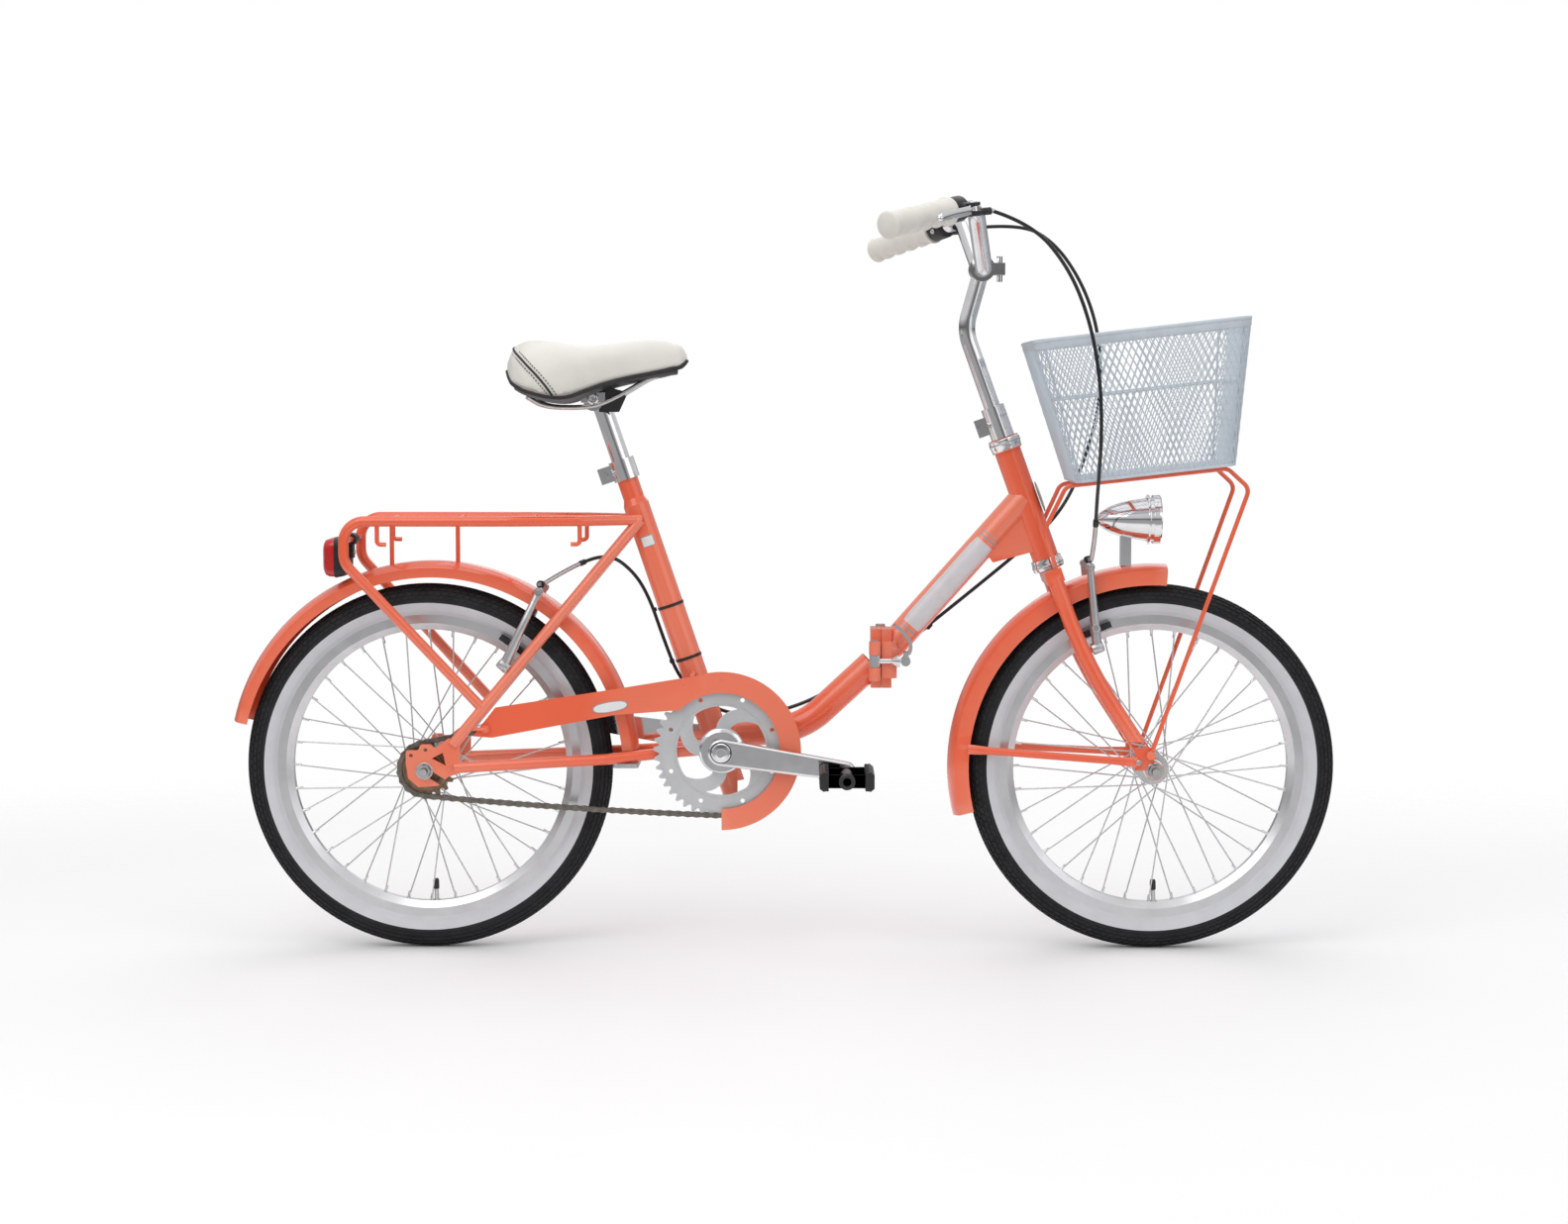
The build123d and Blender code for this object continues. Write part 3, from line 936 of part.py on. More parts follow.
# ---- fork ----------------------------------------------------------------------------------------
CROWN_TOP = HEAD_TUBE_BOTTOM - LOWER_CUP_HEIGHT - BODY_GAP
CROWN_HEIGHT = 18.0
CROWN_HALF_WIDTH = 43.0
FORK_TIP_SIDE = FRONT_DROPOUT_INNER + FRONT_DROPOUT_THICKNESS / 2
BLADE_BEND_ALONG = 170.0
BRAKE_BOSS_ALONG = 182.0
FRONT_EYE = FORK_BLADE_RADIUS + 2 * BODY_GAP + EYE_HALF + 4.0
CROWN_DEPTH = 24.0
with BuildPart() as fork:
    rod(on_steer(0, 0, CROWN_TOP - CROWN_HEIGHT), on_steer(0, 0, STEERER_TOP), STEERER_RADIUS)
    for side in (-1, 1):
        blade_points = [
            on_steer(0, side * CROWN_HALF_WIDTH, CROWN_TOP - 10.0),
            on_steer(0, side * (CROWN_HALF_WIDTH + 3.0), BLADE_BEND_ALONG),
            on_steer(FORK_RAKE - 2.0, side * FORK_TIP_SIDE, 12.0),
        ]
        bent_tube(blade_points, 600.0, FORK_BLADE_RADIUS, MAIN_TUBE_WALL)
        boss = on_steer(0, side * (CROWN_HALF_WIDTH - 2.0), BRAKE_BOSS_ALONG)
        rod(boss, boss + (FRONT_EYE + EYE_HALF + BRAKE_BOSS_END) * STEER.x_dir, BRAKE_BOSS_RADIUS)
    with Locations(Plane(origin=on_steer(0, 0, CROWN_TOP), x_dir=STEER.x_dir, z_dir=-STEER.z_dir)):
        Box(CROWN_DEPTH, 2 * CROWN_HALF_WIDTH + 18.0, CROWN_HEIGHT, align=FROM_BOTTOM)
    # Flattened tips with an eyelet above the axle.
    for side in (-1, 1):
        with Locations(FRONT_AXLE + Vector(0, side * FORK_TIP_SIDE, 0)):
            Cylinder(12.5, FRONT_DROPOUT_THICKNESS, rotation=(90, 0, 0))
            with Locations((-14.0, 0, 16.0)):
                Box(26.0, FRONT_DROPOUT_THICKNESS, 30.0)
    for side in (-1, 1):
        inner = side * (FRONT_DROPOUT_INNER - 20.0)
        outer = side * (FRONT_DROPOUT_INNER + FRONT_DROPOUT_THICKNESS + 20.0)
        for low, high in ((inner, inner + side * 20.0), (outer - side * 20.0, outer)):
            with Locations(FRONT_AXLE + Vector(-8.0, (low + high) / 2, 12.0)):
                Box(64.0, 20.0, 56.0, mode=Mode.SUBTRACT)
    cross_rod(FRONT_AXLE.X, FRONT_AXLE.Z, 80.0, AXLE_RADIUS, mode=Mode.SUBTRACT)
    rod(on_steer(0, 0, CROWN_TOP - 40.0), on_steer(0, 0, STEERER_TOP), STEM_RADIUS + RUNNING_FIT, Mode.SUBTRACT)
fork.part.label = "fork"
export_step(fork.part, "parts/fork.step")

# ---- front mudguard and its stays ----------------------------------------------------------------
FRONT_GUARD_OUTER = TYRE_DIAMETER / 2 + MUDGUARD_GAP
STAY_WIRE_RADIUS = 2.2
TIP_FACE = FRONT_DROPOUT_INNER + FRONT_DROPOUT_THICKNESS
with BuildPart() as front_mudguard:
    guard_band(FRONT_AXLE, FRONT_GUARD_OUTER, 28.0, 86.0, 194.0)
    for side in (-1, 1):
        eyelet = FRONT_AXLE + Vector(-24.0, side * (TIP_FACE + 2.5), 12.0)
        rod(eyelet - Vector(0, side * 2.5, 0), eyelet + Vector(0, side * 3.0, 0), 4.5)
        rod(eyelet, FRONT_AXLE + Vector(-250.0, side * (MUDGUARD_HALF_WIDTH + 1.0), 26.0), STAY_WIRE_RADIUS)
    # Bracket from the crown of the guard to the fork crown.
    crown_foot = on_steer(0, 0, CROWN_TOP - CROWN_HEIGHT)
    to_axle = FRONT_AXLE - crown_foot
    rod(crown_foot, crown_foot + (to_axle.length - FRONT_GUARD_OUTER + 1.0) * to_axle.normalized(), 5.0)
    add(fork.part, mode=Mode.SUBTRACT)
front_mudguard.part.label = "front_mudguard"
export_step(front_mudguard.part, "parts/front_mudguard.step")

# ---- front rack and basket -----------------------------------------------------------------------
RACK_TILT = 6.5
RACK_RISE = 400.0
BASKET_FLOOR = Plane(
    origin=FRONT_AXLE + Vector(-6.0, 0, RACK_RISE),
    x_dir=(cos(radians(RACK_TILT)), 0, sin(radians(RACK_TILT))),
    z_dir=(-sin(radians(RACK_TILT)), 0, cos(radians(RACK_TILT))),
)
PLATFORM_DEPTH = -RACK_WIRE_RADIUS - BODY_GAP
FOOT_FACE = TIP_FACE + 1.0


def on_basket(forward, side, up):
    """Point given in the basket floor's own directions."""
    return BASKET_FLOOR.from_local_coords(Vector(forward, side, up))


with BuildPart() as front_rack:
    for side in (-1, 1):
        wire_points = [
            on_steer(6.0, side * 34.0, CROWN_TOP - 4.0),
            on_steer(6.0, side * 34.0, CROWN_TOP + 20.0) + Vector(-8.0, side * 2.0, 34.0),
            on_basket(-116.0, side * 44.0, PLATFORM_DEPTH),
            on_basket(98.0, side * 62.0, PLATFORM_DEPTH),
            on_basket(124.0, side * 64.0, PLATFORM_DEPTH - 30.0),
            FRONT_AXLE + Vector(-6.0, side * (FOOT_FACE + RACK_WIRE_RADIUS), 22.0),
        ]
        bent_rod(wire_points, 14.0, RACK_WIRE_RADIUS)
        foot = wire_points[-1]
        rod(foot + Vector(0, -side * 4.0, 0), foot + Vector(0, side * 5.0, 0), 6.0)
    for forward, half in ((-84.0, 45.1), (-30.0, 49.6), (30.0, 54.7), (78.0, 58.6)):
        middle = on_basket(forward, 0, PLATFORM_DEPTH)
        cross_rod(middle.X, middle.Z, half, RACK_WIRE_RADIUS)
    add(fork.part, mode=Mode.SUBTRACT)
front_rack.part.label = "front_rack"
export_step(front_rack.part, "parts/front_rack.step")

with BuildPart() as basket:
    for shrink, mode in ((0.0, Mode.ADD), (BASKET_WALL, Mode.SUBTRACT)):
        with BuildSketch(BASKET_FLOOR.offset(shrink)) as floor_outline:
            RectangleRounded(BASKET_BOTTOM_LENGTH - 2 * shrink, BASKET_BOTTOM_WIDTH - 2 * shrink, 25.0)
        with BuildSketch(BASKET_FLOOR.offset(BASKET_HEIGHT)) as mouth_outline:
            RectangleRounded(BASKET_TOP_LENGTH - 2 * shrink, BASKET_TOP_WIDTH - 2 * shrink, 35.0)
        loft(sections=[floor_outline.sketch, mouth_outline.sketch], mode=mode)
basket.part.label = "basket"
export_step(basket.part, "parts/basket.step")

# ---- headlamp under the rack ---------------------------------------------------------------------
LAMP_RADIUS = 33.0
LAMP_LENGTH = 88.0
LAMP_FACE = FRONT_AXLE + Vector(8.0, 0, 337.0)
with BuildPart() as headlamp:
    with BuildSketch(Plane.XZ) as shell_profile:
        with BuildLine():
            face_low = (LAMP_FACE.X, LAMP_FACE.Z)
            Line((LAMP_FACE.X - LAMP_LENGTH, LAMP_FACE.Z), face_low)
            Line(face_low, (LAMP_FACE.X, LAMP_FACE.Z + LAMP_RADIUS))
            Line((LAMP_FACE.X, LAMP_FACE.Z + LAMP_RADIUS), (LAMP_FACE.X - 8.0, LAMP_FACE.Z + LAMP_RADIUS))
            Line(
                (LAMP_FACE.X - 8.0, LAMP_FACE.Z + LAMP_RADIUS),
                (LAMP_FACE.X - 8.0, LAMP_FACE.Z + LAMP_RADIUS - 3.0),
            )
            Spline(
                (LAMP_FACE.X - 8.0, LAMP_FACE.Z + LAMP_RADIUS - 3.0),
                (LAMP_FACE.X - 42.0, LAMP_FACE.Z + 25.0),
                (LAMP_FACE.X - 74.0, LAMP_FACE.Z + 13.0),
                (LAMP_FACE.X - LAMP_LENGTH, LAMP_FACE.Z),
            )
        make_face()
    revolve(shell_profile.sketch, axis=Axis(LAMP_FACE, (1, 0, 0)))
    # Foot that stands on the crown of the front mudguard.
    lamp_foot = Vector(LAMP_FACE.X - 44.0, 0, LAMP_FACE.Z)
    guard_top = FRONT_AXLE.Z + (FRONT_GUARD_OUTER**2 - (lamp_foot.X - FRONT_AXLE.X) ** 2) ** 0.5
    block((lamp_foot.X - 7.0, -8.0, guard_top - 0.4), (lamp_foot.X + 7.0, 8.0, LAMP_FACE.Z - 18.0))
    rod(
        Vector(LAMP_FACE.X, 0, LAMP_FACE.Z),
        Vector(LAMP_FACE.X - 30.0, 0, LAMP_FACE.Z),
        LAMP_RADIUS - 12.0,
        Mode.SUBTRACT,
    )
    add(front_mudguard.part, mode=Mode.SUBTRACT)
headlamp.part.label = "headlamp"
export_step(headlamp.part, "parts/headlamp.step")

# ---- stem, its clamp and the handlebar -----------------------------------------------------------
STEM_FOOT = HEAD_TUBE_BOTTOM + 60.0
STEM_CLAMP_RADIUS = 16.0
STEM_CLAMP_TOP = STEERER_TOP + 40.0
GRIP_RADIUS = 16.5
BAR_CLAMP_RADIUS = 17.0
BAR_CLAMP_HALF = 20.0
BAR_CENTRE = on_steer(48.6, 0, 713.7)
with BuildPart(STEER) as stem_clamp:
    with Locations((0, 0, HEAD_TUBE_TOP + UPPER_CUP_HEIGHT + BODY_GAP)):
        clamp_height = STEM_CLAMP_TOP - HEAD_TUBE_TOP - UPPER_CUP_HEIGHT - BODY_GAP
        Cylinder(STEM_CLAMP_RADIUS, clamp_height, align=FROM_BOTTOM)
        with Locations((-STEM_CLAMP_RADIUS - 5.0, 0, clamp_height - 22.0)):
            Box(18.0, 14.0, 24.0)
            with Locations((-3.0, 0, 0)):
                Cylinder(4.5, 34.0, rotation=(90, 0, 0))
        Cylinder(STEM_RADIUS + RUNNING_FIT, 2 * clamp_height, align=FROM_BOTTOM, mode=Mode.SUBTRACT)
    Cylinder(STEERER_RADIUS, STEERER_TOP, align=FROM_BOTTOM, mode=Mode.SUBTRACT)
stem_clamp.part.label = "stem_clamp"
export_step(stem_clamp.part, "parts/stem_clamp.step")

with BuildPart() as stem:
    stem_points = [on_steer(0, 0, STEM_FOOT), on_steer(0, 0, STEM_STRAIGHT_TOP), BAR_CENTRE]
    bent_tube(stem_points, 60.0, STEM_RADIUS, STEM_WALL)
    cross_rod(BAR_CENTRE.X, BAR_CENTRE.Z, BAR_CLAMP_HALF, BAR_CLAMP_RADIUS)
    with Locations(BAR_CENTRE + Vector(BAR_CLAMP_RADIUS + 5.0, 0, 0)):
        Box(18.0, 22.0, 16.0)
        with Locations((2.0, 0, 0)):
            Cylinder(4.0, 34.0)
    cross_rod(BAR_CENTRE.X, BAR_CENTRE.Z, 2 * BAR_CLAMP_HALF, HANDLEBAR_RADIUS + RUNNING_FIT, mode=Mode.SUBTRACT)
stem.part.label = "stem"
export_step(stem.part, "parts/stem.step")

BAR_BEND_SIDE = 150.0
BAR_RISE = 75.5
BAR_CORNER = BAR_CENTRE + Vector(-19.0, -BAR_BEND_SIDE, BAR_RISE)
BAR_END = Vector(BAR_CENTRE.X - 134.0, -HANDLEBAR_HALF_WIDTH, BAR_CENTRE.Z + 41.0)
BAR_ALONG = (BAR_END - BAR_CORNER).normalized()
BAR_FORWARD = Vector(-BAR_ALONG.Y, BAR_ALONG.X, 0).normalized()
with BuildPart() as handlebar:
    right_half = [BAR_CENTRE + Vector(0, -40.0, 0), BAR_CORNER, BAR_END]
    left_half = [Vector(p.X, -p.Y, p.Z) for p in reversed(right_half)]
    bent_tube(left_half + right_half, [45.0, 30.0, 30.0, 45.0], HANDLEBAR_RADIUS, HANDLEBAR_WALL)
handlebar.part.label = "handlebar"
export_step(handlebar.part, "parts/handlebar.step")

GRIP_LENGTH = 122.0
GRIP_START = BAR_END - GRIP_LENGTH * BAR_ALONG
with BuildPart() as grips:
    rod(GRIP_START, BAR_END + 4.0 * BAR_ALONG, GRIP_RADIUS)
    rod(BAR_END, BAR_END + 4.0 * BAR_ALONG, GRIP_RADIUS + 2.0)
    mirror(about=Plane.XZ)
    add(handlebar.part, mode=Mode.SUBTRACT)
grips.part.label = "grips"
export_step(grips.part, "parts/grips.step")

# ---- brake levers --------------------------------------------------------------------------------
HOUSING_LENGTH = 24.0
LEVER_OFFSET = 30.0
LEVER_REACH = 102.0
HOUSING_START = GRIP_START - (HOUSING_LENGTH + 2.0) * BAR_ALONG
# Local x runs out along the right grip, local y forward away from it, local z upwards.
LEVER_PLANE = Plane(origin=HOUSING_START, x_dir=BAR_ALONG, z_dir=BAR_ALONG.cross(BAR_FORWARD))


def on_lever(outward, forward, up):
    """Point given along the right grip, forward of it and above it."""
    return LEVER_PLANE.from_local_coords(Vector(outward, forward, up))


BARREL_START = on_lever(4.0, 17.0, -6.0)
BARREL_END = on_lever(-24.0, LEVER_OFFSET, -8.0)
CABLE_START = BARREL_END + 2.5 * (BARREL_END - BARREL_START).normalized()
PIVOT_RADIUS = 3.0
with BuildPart() as brake_housings:
    rod(HOUSING_START, on_lever(HOUSING_LENGTH, 0, 0), HANDLEBAR_RADIUS + 4.5)
    rod(on_lever(10.0, 0, 0), on_lever(10.0, LEVER_OFFSET - 2.0, 0), 8.5)
    rod(on_lever(10.0, LEVER_OFFSET, -7.5), on_lever(10.0, LEVER_OFFSET, 7.5), 9.0)
    rod(on_lever(10.0, LEVER_OFFSET, -3.6), on_lever(10.0, LEVER_OFFSET, 3.6), 30.0, Mode.SUBTRACT)
    rod(on_lever(10.0, 0, 0), on_lever(10.0, 16.0, 0), 8.5)
    rod(on_lever(10.0, LEVER_OFFSET, -8.0), on_lever(10.0, LEVER_OFFSET, 8.0), PIVOT_RADIUS)
    # Barrel that the cable leaves through.
    rod(BARREL_START, BARREL_END, 4.5)
    rod(HOUSING_START, on_lever(HOUSING_LENGTH, 0, 0), HANDLEBAR_RADIUS, Mode.SUBTRACT)
    mirror(about=Plane.XZ)
brake_housings.part.label = "brake_housings"
export_step(brake_housings.part, "parts/brake_housings.step")

with BuildPart() as brake_lever_right:
    rod(on_lever(10.0, LEVER_OFFSET, -3.2), on_lever(10.0, LEVER_OFFSET, 3.2), 7.0)
    lever_path = [
        on_lever(12.0, LEVER_OFFSET + 1.0, 0),
        on_lever(34.0, LEVER_OFFSET + 10.0, 0),
        on_lever(74.0, LEVER_OFFSET + 9.0, 0),
        on_lever(LEVER_REACH, LEVER_OFFSET + 16.0, 0),
    ]
    bent_rod(lever_path, 25.0, 3.1)
    with Locations(lever_path[-1]):
        Sphere(5.0)
    pin_radius = PIVOT_RADIUS + RUNNING_FIT
    rod(on_lever(10.0, LEVER_OFFSET, -9.0), on_lever(10.0, LEVER_OFFSET, 9.0), pin_radius, Mode.SUBTRACT)
brake_lever_right.part.label = "brake_lever_right"
export_step(brake_lever_right.part, "parts/brake_lever_right.step")

with BuildPart() as brake_lever_left:
    mirror(brake_lever_right.part, about=Plane.XZ)
brake_lever_left.part.label = "brake_lever_left"
export_step(brake_lever_left.part, "parts/brake_lever_left.step")

# ---- V-brakes ------------------------------------------------------------------------------------
ARM_LENGTH = 110.0
ARM_RADIUS = 6.5
ARM_SIDE = 41.0
ARM_LEAN = 0.26
PAD_INNER = RIM_HALF_WIDTH + PAD_GAP
PAD_THICKNESS = 9.0
PAD_HEIGHT = 8.0
BRAKE_TRACK_RADIUS = RIM_FLANGE_RADIUS - 6.5


def brake_arm(eye, boss_direction, up_direction, axle):
    """Right brake arm round its boss, with its pad against the rim's side wall."""
    lean = (up_direction + ARM_LEAN * boss_direction).normalized()
    rod(eye - EYE_HALF * boss_direction, eye + EYE_HALF * boss_direction, ARM_RADIUS + 1.5)
    top = eye + ARM_LENGTH * lean
    top = Vector(top.X, -ARM_SIDE, top.Z)
    rod(eye, top, ARM_RADIUS - 1.5)
    rod(top - Vector(0, 6.0, 0), top + Vector(0, 6.0, 0), ARM_RADIUS)
    # The pad stands on the braking track, straight out from the axle past the arm.
    arm_middle = eye + 0.25 * (top - eye)
    radial = Vector(arm_middle.X - axle.X, 0, arm_middle.Z - axle.Z).normalized()
    pad = axle + BRAKE_TRACK_RADIUS * radial
    tangent = Vector(-radial.Z, 0, radial.X)
    with Locations(Plane(origin=pad - Vector(0, PAD_INNER, 0), x_dir=tangent, z_dir=(0, -1, 0))):
        Box(46.0, PAD_HEIGHT, PAD_THICKNESS, align=FROM_BOTTOM)
    stud = pad - Vector(0, PAD_INNER + PAD_THICKNESS - 1.0, 0)
    rod(stud, arm_middle, 4.0)
    rod(eye - 80.0 * boss_direction, eye + 80.0 * boss_direction, BRAKE_BOSS_RADIUS + RUNNING_FIT, Mode.SUBTRACT)
    return top


rear_eye = on_seatstay(BRAKE_BOSS_SHARE, -1) + REAR_EYE * REAR_BOSS_DIRECTION
with BuildPart() as rear_brake_arm_right:
    rear_arm_top = brake_arm(
        rear_eye, REAR_BOSS_DIRECTION, Vector(cos(STAY_SLOPE), 0, sin(STAY_SLOPE)), REAR_AXLE
    )
rear_brake_arm_right.part.label = "rear_brake_arm_right"
export_step(rear_brake_arm_right.part, "parts/rear_brake_arm_right.step")

front_eye = on_steer(FRONT_EYE, -(CROWN_HALF_WIDTH - 2.0), BRAKE_BOSS_ALONG)
with BuildPart() as front_brake_arm_right:
    front_arm_top = brake_arm(front_eye, STEER.x_dir, STEER.z_dir, FRONT_AXLE)
front_brake_arm_right.part.label = "front_brake_arm_right"
export_step(front_brake_arm_right.part, "parts/front_brake_arm_right.step")

with BuildPart() as rear_brake_arm_left:
    mirror(rear_brake_arm_right.part, about=Plane.XZ)
rear_brake_arm_left.part.label = "rear_brake_arm_left"
export_step(rear_brake_arm_left.part, "parts/rear_brake_arm_left.step")

with BuildPart() as front_brake_arm_left:
    mirror(front_brake_arm_right.part, about=Plane.XZ)
front_brake_arm_left.part.label = "front_brake_arm_left"
export_step(front_brake_arm_left.part, "parts/front_brake_arm_left.step")

# ---- seatpost and saddle -------------------------------------------------------------------------
SEATPOST_FOOT = 200.0
SEATPOST_HEAD = 500.0
HEAD_HALF_WIDTH = 22.0
HEAD_RADIUS = 13.0
POST_HEAD = on_seat(-8.0, 0, SEATPOST_HEAD)
with BuildPart() as seatpost:
    rod(on_seat(0, 0, SEATPOST_FOOT), on_seat(0, 0, SEATPOST_HEAD), SEATPOST_RADIUS)
    rod(on_seat(0, 0, SEATPOST_FOOT), on_seat(0, 0, SEATPOST_HEAD - 10.0), SEATPOST_RADIUS - 1.6, Mode.SUBTRACT)
    cross_rod(POST_HEAD.X, POST_HEAD.Z, HEAD_HALF_WIDTH, HEAD_RADIUS)
seatpost.part.label = "seatpost"
export_step(seatpost.part, "parts/seatpost.step")

SADDLE_BACK = POST_HEAD.X - 115.0
SADDLE_TOP = POST_HEAD.Z + 84.0
SADDLE_SIDE_VIEW = [
    (0.0, -24.0),
    (12.0, -5.0),
    (32.0, 0.0),
    (100.0, -7.0),
    (200.0, 0.0),
    (232.0, -10.0),
    (241.0, -24.0),
    (232.0, -36.0),
    (194.0, -45.0),
    (131.0, -60.0),
    (84.0, -78.0),
    (62.0, -78.0),
    (34.0, -71.0),
    (6.0, -55.0),
]
with BuildPart() as saddle:
    with BuildSketch(Plane.XZ) as side_view:
        with BuildLine():
            Polyline(*[(SADDLE_BACK + x, SADDLE_TOP + z) for x, z in SADDLE_SIDE_VIEW], close=True)
        make_face()
    extrude(side_view.sketch, amount=SADDLE_HALF_WIDTH + 5.0, both=True)
    with BuildSketch(Plane.XY.offset(SADDLE_TOP + 5.0)) as top_view:
        with BuildLine():
            half_plan = [(0.0, 40.0), (20.0, 84.0), (55.0, SADDLE_HALF_WIDTH), (100.0, 76.0), (150.0, 34.0)]
            half_plan += [(200.0, 24.0), (241.0, 14.0)]
            Spline(*[(SADDLE_BACK + x, y) for x, y in half_plan])
            Line((SADDLE_BACK + 241.0, 14.0), (SADDLE_BACK + 241.0, -14.0))
            Spline(*[(SADDLE_BACK + x, -y) for x, y in half_plan])
            Line((SADDLE_BACK, 40.0), (SADDLE_BACK, -40.0))
        make_face()
    extrude(top_view.sketch, amount=-100.0, mode=Mode.INTERSECT)
saddle.part.label = "saddle"
export_step(saddle.part, "parts/saddle.step")

with BuildPart() as saddle_base:
    base_view = [(34.0, -71.0), (62.0, -78.0), (84.0, -78.0), (131.0, -60.0), (194.0, -45.0)]
    base_view += [(194.0, -53.0), (140.0, -70.0), (130.0, -86.0), (60.0, -88.0), (30.0, -80.0)]
    with BuildSketch(Plane.XZ) as base_outline:
        with BuildLine():
            Polyline(*[(SADDLE_BACK + x, SADDLE_TOP + z) for x, z in base_view], close=True)
        make_face()
    extrude(base_outline.sketch, amount=HEAD_HALF_WIDTH + 6.0, both=True)
    cross_rod(POST_HEAD.X, POST_HEAD.Z, 2 * HEAD_HALF_WIDTH, HEAD_RADIUS, mode=Mode.SUBTRACT)
    rod(on_seat(0, 0, SEATPOST_FOOT), on_seat(0, 0, SEATPOST_HEAD), SEATPOST_RADIUS, Mode.SUBTRACT)
    add(saddle.part, mode=Mode.SUBTRACT)
saddle_base.part.label = "saddle_base"
export_step(saddle_base.part, "parts/saddle_base.step")

# ---- brake cables --------------------------------------------------------------------------------


def cable(points):
    """Cable housing that bends evenly between its guides, put into the part that is being built."""
    bends = []
    for before, here, after in zip(points, points[1:], points[2:]):
        half_turn = radians((here - before).get_angle(after - here)) / 2
        bends.append(0.45 * min((here - before).length, (after - here).length) / tan(half_turn))
    bent_rod(points, bends, CABLE_RADIUS)


# From the right lever, outside the basket, to the noodle of the front brake.
FRONT_CABLE_POINTS = [
    CABLE_START,
    BAR_CENTRE + Vector(52.0, -178.0, 50.0),
    BAR_CENTRE + Vector(102.0, -160.0, -5.0),
    BAR_CENTRE + Vector(132.0, -148.0, -75.0),
    BAR_CENTRE + Vector(146.0, -142.0, -150.0),
    BAR_CENTRE + Vector(149.0, -138.0, -212.0),
    BAR_CENTRE + Vector(148.0, -124.0, -268.0),
    BAR_CENTRE + Vector(149.0, -84.0, -312.0),
    BAR_CENTRE + Vector(150.0, -56.0, -362.0),
    front_arm_top + Vector(1.0, -2.0, ARM_RADIUS + 3.0),
]
with BuildPart() as front_brake_cable:
    cable(FRONT_CABLE_POINTS)
front_brake_cable.part.label = "front_brake_cable"
export_step(front_brake_cable.part, "parts/front_brake_cable.step")

# From the left lever, outside and then below the basket, to a guide on the main tube.
CABLE_GUIDE = HINGE + Vector(66.0, 27.0, 41.0)
GUIDE_GAP = Vector(1.5, 0, 1.7)
UPPER_CABLE_POINTS = [
    Vector(CABLE_START.X, -CABLE_START.Y, CABLE_START.Z),
    BAR_CENTRE + Vector(66.0, 182.0, 73.0),
    BAR_CENTRE + Vector(114.0, 177.0, 46.0),
    BAR_CENTRE + Vector(152.0, 168.0, -10.0),
    BAR_CENTRE + Vector(174.0, 158.0, -75.0),
    BAR_CENTRE + Vector(178.0, 150.0, -140.0),
    BAR_CENTRE + Vector(173.0, 142.0, -200.0),
    BAR_CENTRE + Vector(154.0, 132.0, -258.0),
    BAR_CENTRE + Vector(134.0, 98.0, -302.0),
    BAR_CENTRE + Vector(104.0, 48.0, -340.0),
    BAR_CENTRE + Vector(56.0, 30.0, -384.0),
    CABLE_GUIDE + GUIDE_GAP,
]
with BuildPart() as rear_cable_upper:
    cable(UPPER_CABLE_POINTS)
rear_cable_upper.part.label = "rear_cable_upper"
export_step(rear_cable_upper.part, "parts/rear_cable_upper.step")

# From the guide past the fold, over the bottom bracket and up behind the seat tube to the rear brake.
LOWER_CABLE_POINTS = [
    CABLE_GUIDE - GUIDE_GAP,
    HINGE + Vector(30.0, 45.0, 12.0),
    HINGE + Vector(-20.0, 45.0, -12.0),
    HINGE + Vector(-72.0, 30.0, -52.0),
    BRACKET + Vector(84.0, 28.0, 46.0),
    BRACKET + Vector(24.0, 28.0, 38.0),
    BRACKET + Vector(-28.0, 27.0, 56.0),
    on_seat(-24.0, 22.0, 108.0),
    on_seat(-26.0, 22.0, 165.0),
    on_seat(-26.0, 22.0, 222.0),
    on_seat(-34.0, 21.0, 262.0),
    REAR_AXLE + Vector(246.0, 8.0, 290.0),
    REAR_AXLE + Vector(200.0, -20.0, 276.0),
    rear_arm_top + Vector(8.0, -2.0, ARM_RADIUS + 5.0),
]
with BuildPart() as rear_cable_lower:
    cable(LOWER_CABLE_POINTS)
rear_cable_lower.part.label = "rear_cable_lower"
export_step(rear_cable_lower.part, "parts/rear_cable_lower.step")
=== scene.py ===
"""Looks of a folding city bicycle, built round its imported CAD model.  Lengths are in millimetres until a
mesh is made, and the bicycle rides towards +X with its chain side on -Y."""
import json
import math

import bpy
import numpy as np
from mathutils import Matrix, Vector


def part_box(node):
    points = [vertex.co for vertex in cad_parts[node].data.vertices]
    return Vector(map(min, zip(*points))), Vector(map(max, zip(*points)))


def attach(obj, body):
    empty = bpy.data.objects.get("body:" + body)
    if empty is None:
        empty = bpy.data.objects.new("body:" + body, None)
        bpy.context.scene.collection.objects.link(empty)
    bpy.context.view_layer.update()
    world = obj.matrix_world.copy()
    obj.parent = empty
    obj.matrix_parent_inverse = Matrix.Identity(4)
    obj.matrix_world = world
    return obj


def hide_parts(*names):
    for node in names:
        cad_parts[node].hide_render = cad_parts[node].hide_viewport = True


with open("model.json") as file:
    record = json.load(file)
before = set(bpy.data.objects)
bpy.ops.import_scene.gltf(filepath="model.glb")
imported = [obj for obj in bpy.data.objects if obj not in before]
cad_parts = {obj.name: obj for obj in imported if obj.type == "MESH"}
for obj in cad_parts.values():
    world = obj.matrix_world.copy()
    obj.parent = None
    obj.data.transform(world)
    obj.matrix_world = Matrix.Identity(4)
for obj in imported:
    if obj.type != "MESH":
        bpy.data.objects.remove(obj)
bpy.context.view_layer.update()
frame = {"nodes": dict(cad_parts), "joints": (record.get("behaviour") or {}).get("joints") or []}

MM = 0.001
TAU = 2 * math.pi
